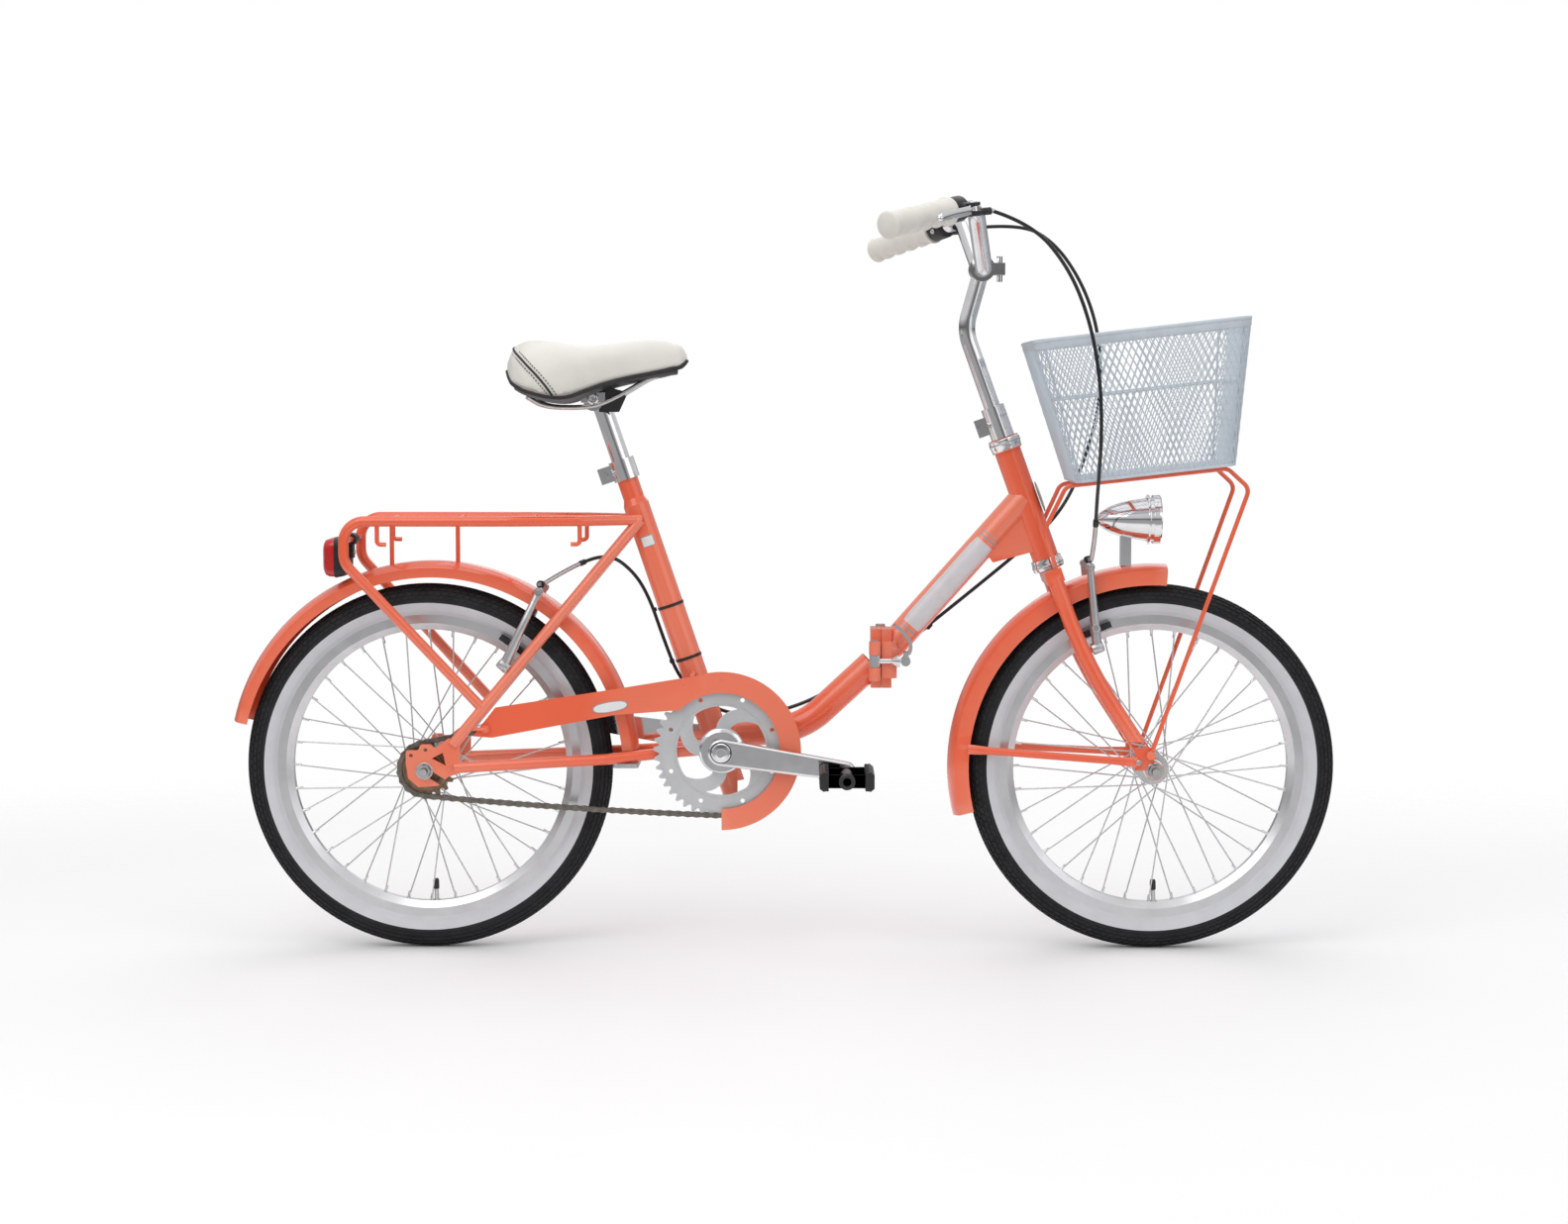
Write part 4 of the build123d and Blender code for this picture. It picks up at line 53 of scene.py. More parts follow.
JOINTS = {j["name"]: j for j in frame["joints"]}


def vec(*numbers):
    return np.array(numbers, float)


def unit(v):
    return np.asarray(v, float) / np.linalg.norm(v)


def joint_at(name):
    return np.array(JOINTS[name]["pos_m"], float) / MM


REAR = joint_at("rear_wheel_spin")
FRONT = joint_at("front_wheel_spin")
BRACKET = joint_at("crank_spin")
BAR_CENTRE = joint_at("handlebar_tilt")
FOLD_PIN = joint_at("frame_fold")
HINGE = FOLD_PIN - vec(0, 31, 0)
STEER_UP = unit(JOINTS["steering_turn"]["axis"])
STEER_AHEAD = vec(STEER_UP[2], 0, -STEER_UP[0])
STEER_FOOT = joint_at("steering_turn")
SEAT_UP = unit(JOINTS["seat_height"]["axis"])
SEAT_AHEAD = vec(SEAT_UP[2], 0, -SEAT_UP[0])
SEAT_FOOT = BRACKET - vec(4.3, 0, 0)


def on_steer(forward, side, along):
    return STEER_FOOT + forward * STEER_AHEAD + vec(0, side, 0) + along * STEER_UP


def on_seat(forward, side, along):
    return SEAT_FOOT + forward * SEAT_AHEAD + vec(0, side, 0) + along * SEAT_UP


# ---- camera ---------------------------------------------------------------------------------------
EYE = vec(32.8, -3700, 748) * MM
AIM = vec(0.8, 0, 460.5) * MM
camera = bpy.data.objects.new("camera", bpy.data.cameras.new("camera"))
bpy.context.scene.collection.objects.link(camera)
camera.data.lens = 62.52
camera.data.sensor_width = 36
camera.location = EYE
camera.rotation_mode = "QUATERNION"
camera.rotation_quaternion = Vector(AIM - EYE).to_track_quat("-Z", "Y")
bpy.context.scene.camera = camera

# ---- materials ------------------------------------------------------------------------------------


def material(
    name, colour, rough, metal=0.0, vary=0.06, scale=30.0, rough_vary=0.06, bump=0.0, grain=600.0,
    coat=0.0, sheen=0.0, edge_highlight=None, cells=False, transmission=0.0, specular=0.5,
):
    """Principled surface whose colour, roughness and bump vary by noise in object space."""
    mat = bpy.data.materials.new(name)
    mat.use_nodes = True
    tree = mat.node_tree
    shader = tree.nodes["Principled BSDF"]
    shader.inputs["Metallic"].default_value = metal
    shader.inputs["Coat Weight"].default_value = coat
    shader.inputs["Coat Roughness"].default_value = 0.06
    shader.inputs["Sheen Weight"].default_value = sheen
    shader.inputs["Transmission Weight"].default_value = transmission
    shader.inputs["Specular IOR Level"].default_value = specular
    place = tree.nodes.new("ShaderNodeTexCoord")
    noise = tree.nodes.new("ShaderNodeTexNoise")
    noise.inputs["Scale"].default_value = scale
    noise.inputs["Detail"].default_value = 5
    tree.links.new(place.outputs["Object"], noise.inputs["Vector"])
    ramp = tree.nodes.new("ShaderNodeValToRGB")
    ramp.color_ramp.elements[0].position = 0.3
    ramp.color_ramp.elements[1].position = 0.7
    for element, factor in zip(ramp.color_ramp.elements, (1 - vary, 1 + vary)):
        element.color = (*[min(1.0, c * factor) for c in colour], 1)
    tree.links.new(noise.outputs["Fac"], ramp.inputs["Fac"])
    last = ramp.outputs["Color"]
    # Painted highlight: a paler colour mixed into the base colour on sharp convex edges, found by pointiness.
    if edge_highlight:
        geometry = tree.nodes.new("ShaderNodeNewGeometry")
        edge = tree.nodes.new("ShaderNodeMapRange")
        edge.inputs["From Min"].default_value = 0.54
        edge.inputs["From Max"].default_value = 0.62
        edge.inputs["To Max"].default_value = 0.6
        tree.links.new(geometry.outputs["Pointiness"], edge.inputs["Value"])
        mix = tree.nodes.new("ShaderNodeMix")
        mix.data_type = "RGBA"
        mix.inputs["B"].default_value = (*edge_highlight, 1)
        tree.links.new(edge.outputs["Result"], mix.inputs["Factor"])
        tree.links.new(last, mix.inputs["A"])
        last = mix.outputs["Result"]
    tree.links.new(last, shader.inputs["Base Color"])
    spread = tree.nodes.new("ShaderNodeMapRange")
    spread.inputs["To Min"].default_value = max(0.02, rough - rough_vary)
    spread.inputs["To Max"].default_value = min(1.0, rough + rough_vary)
    smudge = tree.nodes.new("ShaderNodeTexNoise")
    smudge.inputs["Scale"].default_value = scale * 2.3
    smudge.inputs["Detail"].default_value = 4
    tree.links.new(place.outputs["Object"], smudge.inputs["Vector"])
    tree.links.new(smudge.outputs["Fac"], spread.inputs["Value"])
    tree.links.new(spread.outputs["Result"], shader.inputs["Roughness"])
    if bump:
        relief = tree.nodes.new("ShaderNodeTexVoronoi" if cells else "ShaderNodeTexNoise")
        relief.inputs["Scale"].default_value = grain
        tree.links.new(place.outputs["Object"], relief.inputs["Vector"])
        lift = tree.nodes.new("ShaderNodeBump")
        lift.inputs["Strength"].default_value = bump
        lift.inputs["Distance"].default_value = 0.0006
        tree.links.new(relief.outputs["Distance" if cells else "Fac"], lift.inputs["Height"])
        tree.links.new(lift.outputs["Normal"], shader.inputs["Normal"])
    return mat


CORAL = (0.88, 0.125, 0.045)
# The coral paint carries a painted highlight: paler coral on its sharp convex edges.
PAINT = material("coral_paint", CORAL, 0.3, vary=0.03, scale=12, bump=0.05, grain=260, coat=0.7,
                 edge_highlight=(0.93, 0.30, 0.19))
CHROME = material("chrome", (0.80, 0.80, 0.81), 0.09, 1.0, vary=0.05, scale=40, rough_vary=0.04)
ALLOY = material("polished_alloy", (0.74, 0.74, 0.75), 0.24, 1.0, vary=0.06, scale=60, bump=0.05, grain=900)
RIM_METAL = material("rim_alloy", (0.70, 0.70, 0.72), 0.3, 1.0, vary=0.07, scale=25, bump=0.04, grain=1200)
SATIN = material("satin_alloy", (0.56, 0.56, 0.57), 0.36, 1.0, vary=0.08, scale=90, bump=0.1, grain=700)
STEEL = material("zinc_steel", (0.60, 0.60, 0.60), 0.3, 1.0, vary=0.1, scale=120, rough_vary=0.1)
DARK_STEEL = material("dark_steel", (0.20, 0.18, 0.16), 0.42, 0.9, vary=0.25, scale=140, bump=0.15, grain=500)
BROWN_STEEL = material("brown_steel", (0.24, 0.165, 0.105), 0.46, 0.85, vary=0.3, scale=110, bump=0.2,
                       grain=420)
TREAD = material("tyre_tread", (0.018, 0.018, 0.02), 0.72, vary=0.3, scale=60, bump=0.3, grain=900,
                 specular=0.3)
SIDEWALL = material("tyre_sidewall", (0.62, 0.63, 0.66), 0.6, vary=0.05, scale=30, bump=0.2, grain=900)
BLACK = material("black_plastic", (0.016, 0.016, 0.018), 0.42, vary=0.3, scale=60, bump=0.12, grain=1300)
RUBBER = material("black_rubber", (0.02, 0.02, 0.021), 0.66, vary=0.3, scale=80, bump=0.25, grain=1100)
GLOSS_BLACK = material("cable_black", (0.012, 0.012, 0.014), 0.25, vary=0.2, scale=70, bump=0.05, grain=800)
RING_GREY = material("chainring_grey", (0.60, 0.61, 0.62), 0.34, 0.35, vary=0.05, scale=35, bump=0.06,
                     grain=500,
                     coat=0.2)
CREAM_RUBBER = material("cream_rubber", (0.80, 0.78, 0.72), 0.5, vary=0.04, scale=40, bump=0.2, grain=900)
LEATHER = material("cream_leather", (0.80, 0.775, 0.72), 0.44, vary=0.05, scale=18, bump=0.35, grain=620,
                   cells=True, sheen=0.1)
BASKET = material("coated_wire", (0.60, 0.66, 0.72), 0.38, vary=0.06, scale=50, bump=0.1, grain=900, coat=0.3)
RED = material("red_lens", (0.55, 0.012, 0.014), 0.12, vary=0.15, scale=60, bump=0.5, grain=240, cells=True,
               coat=0.5)
LENS = material("lamp_lens", (0.86, 0.88, 0.9), 0.08, vary=0.03, scale=60, bump=0.5, grain=170, cells=True,
                coat=0.6, transmission=0.35)
PANEL = material("pale_panel", (0.66, 0.63, 0.65), 0.38, vary=0.04, scale=60, coat=0.4, bump=0.03)
PANEL_LINE = material("grey_line", (0.36, 0.35, 0.37), 0.4, vary=0.08, scale=60, coat=0.4)
WHITE_BADGE = material("white_badge", (0.82, 0.82, 0.82), 0.3, vary=0.03, scale=60, coat=0.5)
NOODLE = material("noodle_steel", (0.50, 0.50, 0.51), 0.28, 1.0, vary=0.06, scale=90)

# ---- mesh tools -----------------------------------------------------------------------------------


class Build:
    """Collects vertices and faces, each face with a material, and makes one piece of them."""

    def __init__(self, *materials):
        self.materials = materials
        self.verts = []
        self.faces = []
        self.picks = []

    def add(self, verts, faces, pick=0):
        base = len(self.verts)
        self.verts.extend(np.asarray(verts, float))
        self.faces.extend([tuple(base + i for i in f) for f in faces])
        self.picks.extend([pick] * len(faces) if isinstance(pick, int) else pick)

    def mirrored(self):
        """The same again on the other side of the middle plane."""
        base = len(self.verts)
        self.verts.extend([v * (1, -1, 1) for v in list(self.verts)])
        self.faces.extend([tuple(base + i for i in reversed(f)) for f in list(self.faces)])
        self.picks.extend(list(self.picks))

    def done(self, name, body, slot, replaces=(), bevel=0.0, subdivide=0, sharp=35.0):
        mesh = bpy.data.meshes.new(name)
        mesh.from_pydata([tuple(v * MM) for v in self.verts], [], self.faces)
        for mat in self.materials:
            mesh.materials.append(mat)
        for polygon, pick in zip(mesh.polygons, self.picks):
            polygon.material_index = pick
            polygon.use_smooth = True
        mesh.validate()
        mesh.update()
        mesh.set_sharp_from_angle(angle=math.radians(sharp))
        piece = bpy.data.objects.new(name, mesh)
        bpy.context.scene.collection.objects.link(piece)
        if bevel:
            edge = piece.modifiers.new("bevel", "BEVEL")
            edge.width = bevel * MM
            edge.segments = 2
            edge.limit_method = "ANGLE"
            edge.angle_limit = math.radians(40)
        if subdivide:
            smooth = piece.modifiers.new("subdivide", "SUBSURF")
            smooth.levels = subdivide
            smooth.render_levels = subdivide
        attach(piece, body)
        if replaces:
            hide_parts(*replaces)
        return piece


def frame_of(axis, hint=(0, 0, 1)):
    """Two directions square to the axis and to each other."""
    axis = unit(axis)
    side = np.cross(axis, hint)
    if np.linalg.norm(side) < 1e-3:
        side = np.cross(axis, (1, 0, 0))
    side = unit(side)
    return side, np.cross(axis, side)


def lathe(profile, centre, axis=(0, 1, 0), segments=48, closed=False, turn=TAU):
    """Surface of (radius, along) points turned about an axis."""
    side, up = frame_of(axis)
    axis = unit(axis)
    verts, faces = [], []
    full = abs(turn - TAU) < 1e-6
    count = segments if full else segments + 1
    for i in range(count):
        a = turn * i / segments
        out = math.cos(a) * side + math.sin(a) * up
        verts += [np.asarray(centre) + r * out + t * axis for r, t in profile]
    n = len(profile)
    rows = n if closed else n - 1
    for i in range(segments):
        for k in range(rows):
            a, b = i * n + k, i * n + (k + 1) % n
            c, d = ((i + 1) % count) * n + (k + 1) % n, ((i + 1) % count) * n + k
            faces.append((a, b, c, d))
    return verts, faces


def smooth_path(points, count):
    """Catmull-Rom points through the given points."""
    points = [np.asarray(p, float) for p in points]
    points = [2 * points[0] - points[1]] + points + [2 * points[-1] - points[-2]]
    spans = len(points) - 3
    out = []
    for i in range(count):
        t = spans * i / (count - 1)
        k = min(int(t), spans - 1)
        t -= k
        a, b, c, d = points[k:k + 4]
        out.append(0.5 * (2 * b + (c - a) * t + (2 * a - 5 * b + 4 * c - d) * t**2
                          + (3 * b - a - 3 * c + d) * t**3))
    return out


def sweep(path, wide, high=None, sides=10, hint=(0, 0, 1), closed=False, caps=True):
    """Tube round a path; wide and high are its half sizes, numbers or one for each point."""
    path = [np.asarray(p, float) for p in path]
    n = len(path)
    wide = np.broadcast_to(wide, n)
    high = wide if high is None else np.broadcast_to(high, n)
    verts, faces = [], []
    side = None
    for i, p in enumerate(path):
        before = path[i - 1] if i or closed else path[0]
        after = path[(i + 1) % n] if i < n - 1 or closed else path[-1]
        along = unit(after - before)
        if side is None:
            side, up = frame_of(along, hint)
        else:
            side = unit(side - np.dot(side, along) * along)
            up = np.cross(along, side)
        for k in range(sides):
            a = TAU * k / sides
            verts.append(p + wide[i] * math.cos(a) * side + high[i] * math.sin(a) * up)
    for i in range(n if closed else n - 1):
        for k in range(sides):
            a, b = i * sides + k, i * sides + (k + 1) % sides
            j = ((i + 1) % n) * sides
            faces.append((a, b, j + (k + 1) % sides, j + k))
    if caps and not closed:
        faces.append(tuple(reversed(range(sides))))
        faces.append(tuple((n - 1) * sides + k for k in range(sides)))
    return verts, faces


def plate(outlines, origin, u, v, thickness, bevel=0.0):
    """Flat plate with holes: the first outline is its edge, all in (u, v) from the origin."""
    curve = bpy.data.curves.new("plate", "CURVE")
    curve.dimensions = "2D"
    curve.fill_mode = "BOTH"
    curve.extrude = max(thickness / 2 - bevel, 0.01)
    curve.bevel_depth = bevel
    curve.bevel_resolution = 1
    for outline in outlines:
        spline = curve.splines.new("POLY")
        spline.points.add(len(outline) - 1)
        for point, (x, y) in zip(spline.points, outline):
            point.co = (x, y, 0, 1)
        spline.use_cyclic_u = True
    carrier = bpy.data.objects.new("plate", curve)
    mesh = bpy.data.meshes.new_from_object(carrier)
    u, v = unit(u), unit(v)
    w = np.cross(u, v)
    origin = np.asarray(origin, float)
    verts = [origin + p.co[0] * u + p.co[1] * v + p.co[2] * w for p in mesh.vertices]
    faces = [tuple(f.vertices) for f in mesh.polygons]
    bpy.data.objects.remove(carrier)
    bpy.data.meshes.remove(mesh)
    return verts, faces


def block(low, high, u=(1, 0, 0), v=(0, 1, 0), origin=(0, 0, 0)):
    """Eight-cornered solid between two opposite corners in the (u, v, u x v) directions."""
    u, v = unit(u), unit(v)
    w = np.cross(u, v)
    corners = [(x, y, z) for z in (low[2], high[2]) for y in (low[1], high[1]) for x in (low[0], high[0])]
    verts = [np.asarray(origin) + x * u + y * v + z * w for x, y, z in corners]
    faces = [(0, 2, 3, 1), (4, 5, 7, 6), (0, 1, 5, 4), (2, 6, 7, 3), (0, 4, 6, 2), (1, 3, 7, 5)]
    return verts, faces


def ring_points(radius, count, first=0.0, last=TAU):
    return [(radius * math.cos(first + (last - first) * i / count),
             radius * math.sin(first + (last - first) * i / count)) for i in range(count)]


def rounded(outline, rounds=2):
    """Closed outline with its corners cut round."""
    for _ in range(rounds):
        out = []
        for p, q in zip(outline, outline[1:] + outline[:1]):
            out.append((0.75 * p[0] + 0.25 * q[0], 0.75 * p[1] + 0.25 * q[1]))
            out.append((0.25 * p[0] + 0.75 * q[0], 0.25 * p[1] + 0.75 * q[1]))
        outline = out
    return outline


def bolt(build, centre, axis, radius, height, pick=0):
    """Domed screw head with a hexagon socket rim, standing on a face."""
    profile = [(radius, 0), (radius, height * 0.55), (radius * 0.8, height), (radius * 0.45, height),
               (radius * 0.4, height * 0.5), (0.01, height * 0.5)]
    build.add(*lathe(profile, centre, axis, 20), pick)


# ---- brake cables ---------------------------------------------------------------------------------
LEVER_ALONG = unit((-0.63653, -0.74723, -0.19096))
LEVER_AHEAD = unit((0.76124, -0.64847, 0))
LEVER_UP = np.cross(LEVER_ALONG, LEVER_AHEAD)
HOUSING_START = joint_at("right_lever_pull") - 10 * LEVER_ALONG - 30 * LEVER_AHEAD


def on_lever(outward, forward, up):
    return HOUSING_START + outward * LEVER_ALONG + forward * LEVER_AHEAD + up * LEVER_UP


CABLE_RADIUS = 2.5
ARM_LENGTH, ARM_SIDE, ARM_LEAN = 110.0, 41.0, 0.26


def brake_frame(joint, up):
    """Eye centre, boss direction and leaning arm direction of the right arm of one brake."""
    eye = joint_at(joint)
    direction = unit(JOINTS[joint]["axis"])
    lean = unit(up + ARM_LEAN * direction)
    top = eye + ARM_LENGTH * lean
    return eye, direction, lean, vec(top[0], -ARM_SIDE, top[2])


STAY_UP = vec(0.63964, 0, 0.76868)
REAR_EYE, REAR_BOSS, REAR_LEAN, REAR_TOP = brake_frame("rear_arm_right_swing", STAY_UP)
FRONT_EYE, FRONT_BOSS, FRONT_LEAN, FRONT_TOP = brake_frame("front_arm_right_swing", STEER_UP)
BARREL_START = on_lever(4, 17, -6)
BARREL_END = on_lever(-24, 30, -8)
CABLE_START = BARREL_END + 2.5 * unit(BARREL_END - BARREL_START)
GUIDE = HINGE + vec(66, 27, 41)
GUIDE_GAP = vec(1.5, 0, 1.7)
ROUTES = {
    "front_brake_cable": [
        CABLE_START,
        BAR_CENTRE + vec(52, -178, 50), BAR_CENTRE + vec(102, -160, -5), BAR_CENTRE + vec(132, -148, -75),
        BAR_CENTRE + vec(146, -142, -150), BAR_CENTRE + vec(149, -138, -212),
        BAR_CENTRE + vec(148, -124, -268), BAR_CENTRE + vec(149, -84, -312),
        BAR_CENTRE + vec(150, -56, -362), FRONT_TOP + vec(1, -2, 9.5),
    ],
    "rear_cable_upper": [
        CABLE_START * (1, -1, 1),
        BAR_CENTRE + vec(66, 182, 73), BAR_CENTRE + vec(114, 177, 46), BAR_CENTRE + vec(152, 168, -10),
        BAR_CENTRE + vec(174, 158, -75), BAR_CENTRE + vec(178, 150, -140),
        BAR_CENTRE + vec(173, 142, -200), BAR_CENTRE + vec(154, 132, -258),
        BAR_CENTRE + vec(134, 98, -302), BAR_CENTRE + vec(104, 48, -340),
        BAR_CENTRE + vec(56, 30, -384), GUIDE + GUIDE_GAP,
    ],
    "rear_cable_lower": [
        GUIDE - GUIDE_GAP,
        HINGE + vec(30, 45, 12), HINGE + vec(-20, 45, -12), HINGE + vec(-72, 30, -52),
        BRACKET + vec(84, 28, 46), BRACKET + vec(24, 28, 38), BRACKET + vec(-28, 27, 56),
        on_seat(-24, 22, 108), on_seat(-26, 22, 165), on_seat(-26, 22, 222), on_seat(-34, 21, 262),
        REAR + vec(246, 8, 290), REAR + vec(200, -20, 276), REAR_TOP + vec(8, -2, 11.5),
    ],
}
LINES = {}


def nurbs(points):
    """Curve data of one open smooth spline whose control points are the route's points."""
    data = bpy.data.curves.new("route", "CURVE")
    data.dimensions = "3D"
    data.resolution_u = 16
    spline = data.splines.new("NURBS")
    spline.points.add(len(points) - 1)
    for point, p in zip(spline.points, points):
        point.co = (*[float(c) * MM for c in p], 1)
    spline.order_u = 3
    spline.use_endpoint_u = True
    return data


def line_of(points):
    """Points in millimetres along the spline of a route."""
    carrier = bpy.data.objects.new("route", nurbs(points))
    mesh = bpy.data.meshes.new_from_object(carrier)
    line = [np.array(v.co) / MM for v in mesh.vertices]
    bpy.data.objects.remove(carrier)
    return line


for cable_name, cable_body in (
    ("front_brake_cable", "steering"), ("rear_cable_upper", "front_frame"), ("rear_cable_lower", "rear_frame")
):
    route = ROUTES[cable_name]
    line = line_of(route)
    LINES[cable_name] = line
    data = nurbs(route)
    data.bevel_depth = CABLE_RADIUS * MM
    data.bevel_resolution = 4
    data.use_fill_caps = True
    data.materials.append(GLOSS_BLACK)
    cable = bpy.data.objects.new(cable_name + "_housing", data)
    bpy.context.scene.collection.objects.link(cable)
    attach(cable, cable_body)
    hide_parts(cable_name)

# Clips and ferrules that hold the housings.
clips = Build(BLACK, STEEL)
clips.add(*lathe([(3.4, -5), (4.2, -4), (4.2, 4), (3.4, 5)], GUIDE, vec(0.66, 0, 0.75), 20))
clips.add(*block((-4, -8, -4), (4, 0, 4), (0.66, 0, 0.75), (0, 1, 0), GUIDE), 0)
clips.done("cable_guide_front", "front_frame", "black_plastic", bevel=0.8)

clips = Build(BLACK)
for along in (130, 205):
    clips.add(*lathe([(18.3, -2), (18.3, 2), (17.4, 2), (17.4, -2)], on_seat(0, 0, along), SEAT_UP, 48, True))
    clips.add(*lathe([(3.5, -2.5), (3.5, 2.5)], on_seat(-25, 22, along), SEAT_UP, 16))
clips.done("cable_ties", "rear_frame", "black_plastic")

for cable_name, brake_body in (("front_brake_cable", "steering"), ("rear_cable_lower", "rear_frame")):
    line = LINES[cable_name]
    tail = line[int(len(line) * (0.87 if brake_body == "steering" else 0.93)):]
    noodle = Build(NOODLE, BLACK)
    noodle.add(*sweep(tail, 3.1, sides=12), 0)
    noodle.add(*lathe([(2.6, -9), (3.9, -8), (3.9, 0), (3.2, 1)], tail[0], unit(tail[0] - tail[1]), 16), 1)
    noodle.done(brake_body + "_noodle", brake_body, "zinc_steel")

# ---- wheels ---------------------------------------------------------------------------------------
TYRE_CENTRE, TYRE_CURVE = 226.5, 22.2
BEAD_ANGLE, TREAD_ANGLE = math.radians(140), math.radians(93)


def tyre(prefix, centre):
    """Light-walled tyre with a black tread of small blocks between fine grooves."""
    build = Build(TREAD, SIDEWALL)
    steps = 44
    profile = []
    picks = []
    for i in range(steps + 1):
        a = -BEAD_ANGLE + 2 * BEAD_ANGLE * i / steps
        lift = 0.5 if abs(abs(a) - TREAD_ANGLE) < 0.07 or abs(abs(a) - 2.2) < 0.06 else 0.0
        profile.append((TYRE_CENTRE + (TYRE_CURVE + lift) * math.cos(a), (TYRE_CURVE + lift) * math.sin(a)))
        middle = a + BEAD_ANGLE / steps
        picks.append(0 if abs(middle) < TREAD_ANGLE else 1)
    profile += [(206.0, 10.6), (206.0, -10.6)]
    picks = picks[:steps] + [1, 1, 1]
    segments = 144
    verts, faces = lathe(profile, centre, (0, 1, 0), segments, closed=True)
    build.add(verts, faces, picks * segments)
    rows = [(0.0, 0.075, 0.0), (0.25, 0.085, 0.5), (0.52, 0.085, 0.0), (0.80, 0.085, 0.5), (1.09, 0.09, 0.0),
            (1.36, 0.07, 0.5)]
    count = 150
    for angle, half, shift in rows:
        for side in ((1,) if angle == 0 else (-1, 1)):
            for i in range(count):
                turn = TAU * (i + shift) / count
                half_turn = TAU / count * (0.40 if angle < 1.2 else 0.33)
                corners = []
                for lift in (-0.4, 1.25):
                    for da, dt in ((-half, -1), (half, -1), (half, 1), (-half, 1)):
                        a = side * (angle + da)
                        slant = 0.35 * da / half * half_turn * (1 if angle else 0)
                        t = turn + dt * half_turn + slant
                        r = TYRE_CENTRE + (TYRE_CURVE + lift) * math.cos(a)
                        corners.append(centre + vec(r * math.cos(t), (TYRE_CURVE + lift) * math.sin(a),
                                                    r * math.sin(t)))
                order = [(4, 5, 6, 7), (0, 1, 5, 4), (1, 2, 6, 5), (2, 3, 7, 6), (3, 0, 4, 7)]
                if side > 0:
                    order = [tuple(reversed(f)) for f in order]
                build.add(corners, order, 0)
    build.done(prefix + "_tyre_tread", prefix + "_wheel", "tyre_rubber", [prefix + "_tyre"])


def rim_fittings(prefix, centre):
    """Spoke nipples, and the valve with its cap."""
    build = Build(ALLOY)
    for number in range(36):
        turn = number * TAU / 36
        out = vec(math.cos(turn), 0, math.sin(turn))
        near = -2.5 if number % 2 else 2.5
        base = centre + 187.4 * out + vec(0, near, 0)
        build.add(*lathe([(1.2, 9.5), (1.7, 9.0), (1.9, 3.0), (2.6, 1.0), (2.6, 0.0)], base, -out, 10), 0)
    build.done(prefix + "_nipples", prefix + "_wheel", "polished_alloy")
    build = Build(STEEL, BLACK)
    out = vec(math.cos(-1.535), 0, math.sin(-1.535))
    base = centre + 187.2 * out
    stem = [(5.0, 0), (5.0, 1.5), (3.2, 1.6), (3.2, 15), (2.8, 15.5), (2.8, 16)]
    cap = [(3.6, 16), (4.1, 17), (4.1, 27), (3.2, 30), (0.01, 30.5)]
    build.add(*lathe(stem, base, -out, 20), 0)
    build.add(*lathe(cap, base, -out, 20), 1)
    build.done(prefix + "_valve", prefix + "_wheel", "zinc_steel")


def hub_fittings(prefix, centre, near, far, wheel_body, frame_body):
    """Dust covers on the hub, and cone locknuts and washers beside the dropouts."""
    build = Build(ALLOY)
    for side, reach in ((-1, near), (1, far)):
        face = centre + vec(0, side * reach, 0)
        build.add(*lathe([(13.5, -0.5), (13.5, 0.8), (12.0, 1.6), (10.6, 1.6)], face, (0, side, 0), 32))
    build.done(prefix + "_hub_covers", wheel_body, "polished_alloy")
    build = Build(STEEL, DARK_STEEL)
    outer = {"rear": 63.0, "front": 55.0}[prefix]
    for side in (-1, 1):
        face = centre + vec(0, side * outer, 0)
        build.add(*lathe([(11.5, 0.0), (11.5, 1.0), (10.8, 1.6), (9.0, 1.6)], face, (0, side, 0), 32), 0)
        tip = centre + vec(0, side * (outer + 9), 0)
        thread = [(5.25 - 0.35 * (k % 2), 0.55 * k) for k in range(12)] + [(4.2, 6.9), (0.01, 7.0)]
        build.add(*lathe(thread, tip, (0, side, 0), 20), 1)
        build.add(*lathe([(7.4, -0.6), (7.0, 0.2), (5.2, 0.2)], tip, (0, side, 0), 24), 0)
    build.done(prefix + "_axle_nuts", frame_body, "zinc_steel")


tyre("rear", REAR)
tyre("front", FRONT)
rim_fittings("rear", REAR)
rim_fittings("front", FRONT)
hub_fittings("rear", REAR, 33, 38, "rear_wheel", "rear_frame")
hub_fittings("front", FRONT, 35, 35, "front_wheel", "steering")

# ---- chain, chainring and freewheel ---------------------------------------------------------------
PITCH, CHAIN_SIDE = 12.7, 44.0
RING_PITCH = PITCH / 2 / math.sin(math.pi / 44)
SPROCKET_PITCH = PITCH / 2 / math.sin(math.pi / 18)
RUN = BRACKET - REAR
SLOPE = math.atan2(RUN[2], RUN[0])
LEAN = math.atan2(RING_PITCH - SPROCKET_PITCH, math.hypot(RUN[0], RUN[2]))


def wrap(centre, radius, teeth, first, last):
    count = int((first - last) / (TAU / teeth)) + 1
    return [centre + radius * vec(math.cos(first - n * TAU / teeth), 0, math.sin(first - n * TAU / teeth))
            for n in range(count)]


def straight(start, end, sag=0.0):
    count = round(np.linalg.norm(end - start) / PITCH)
    return [start + (end - start) * n / count - vec(0, 0, 4 * sag * n / count * (1 - n / count))
            for n in range(1, count)]


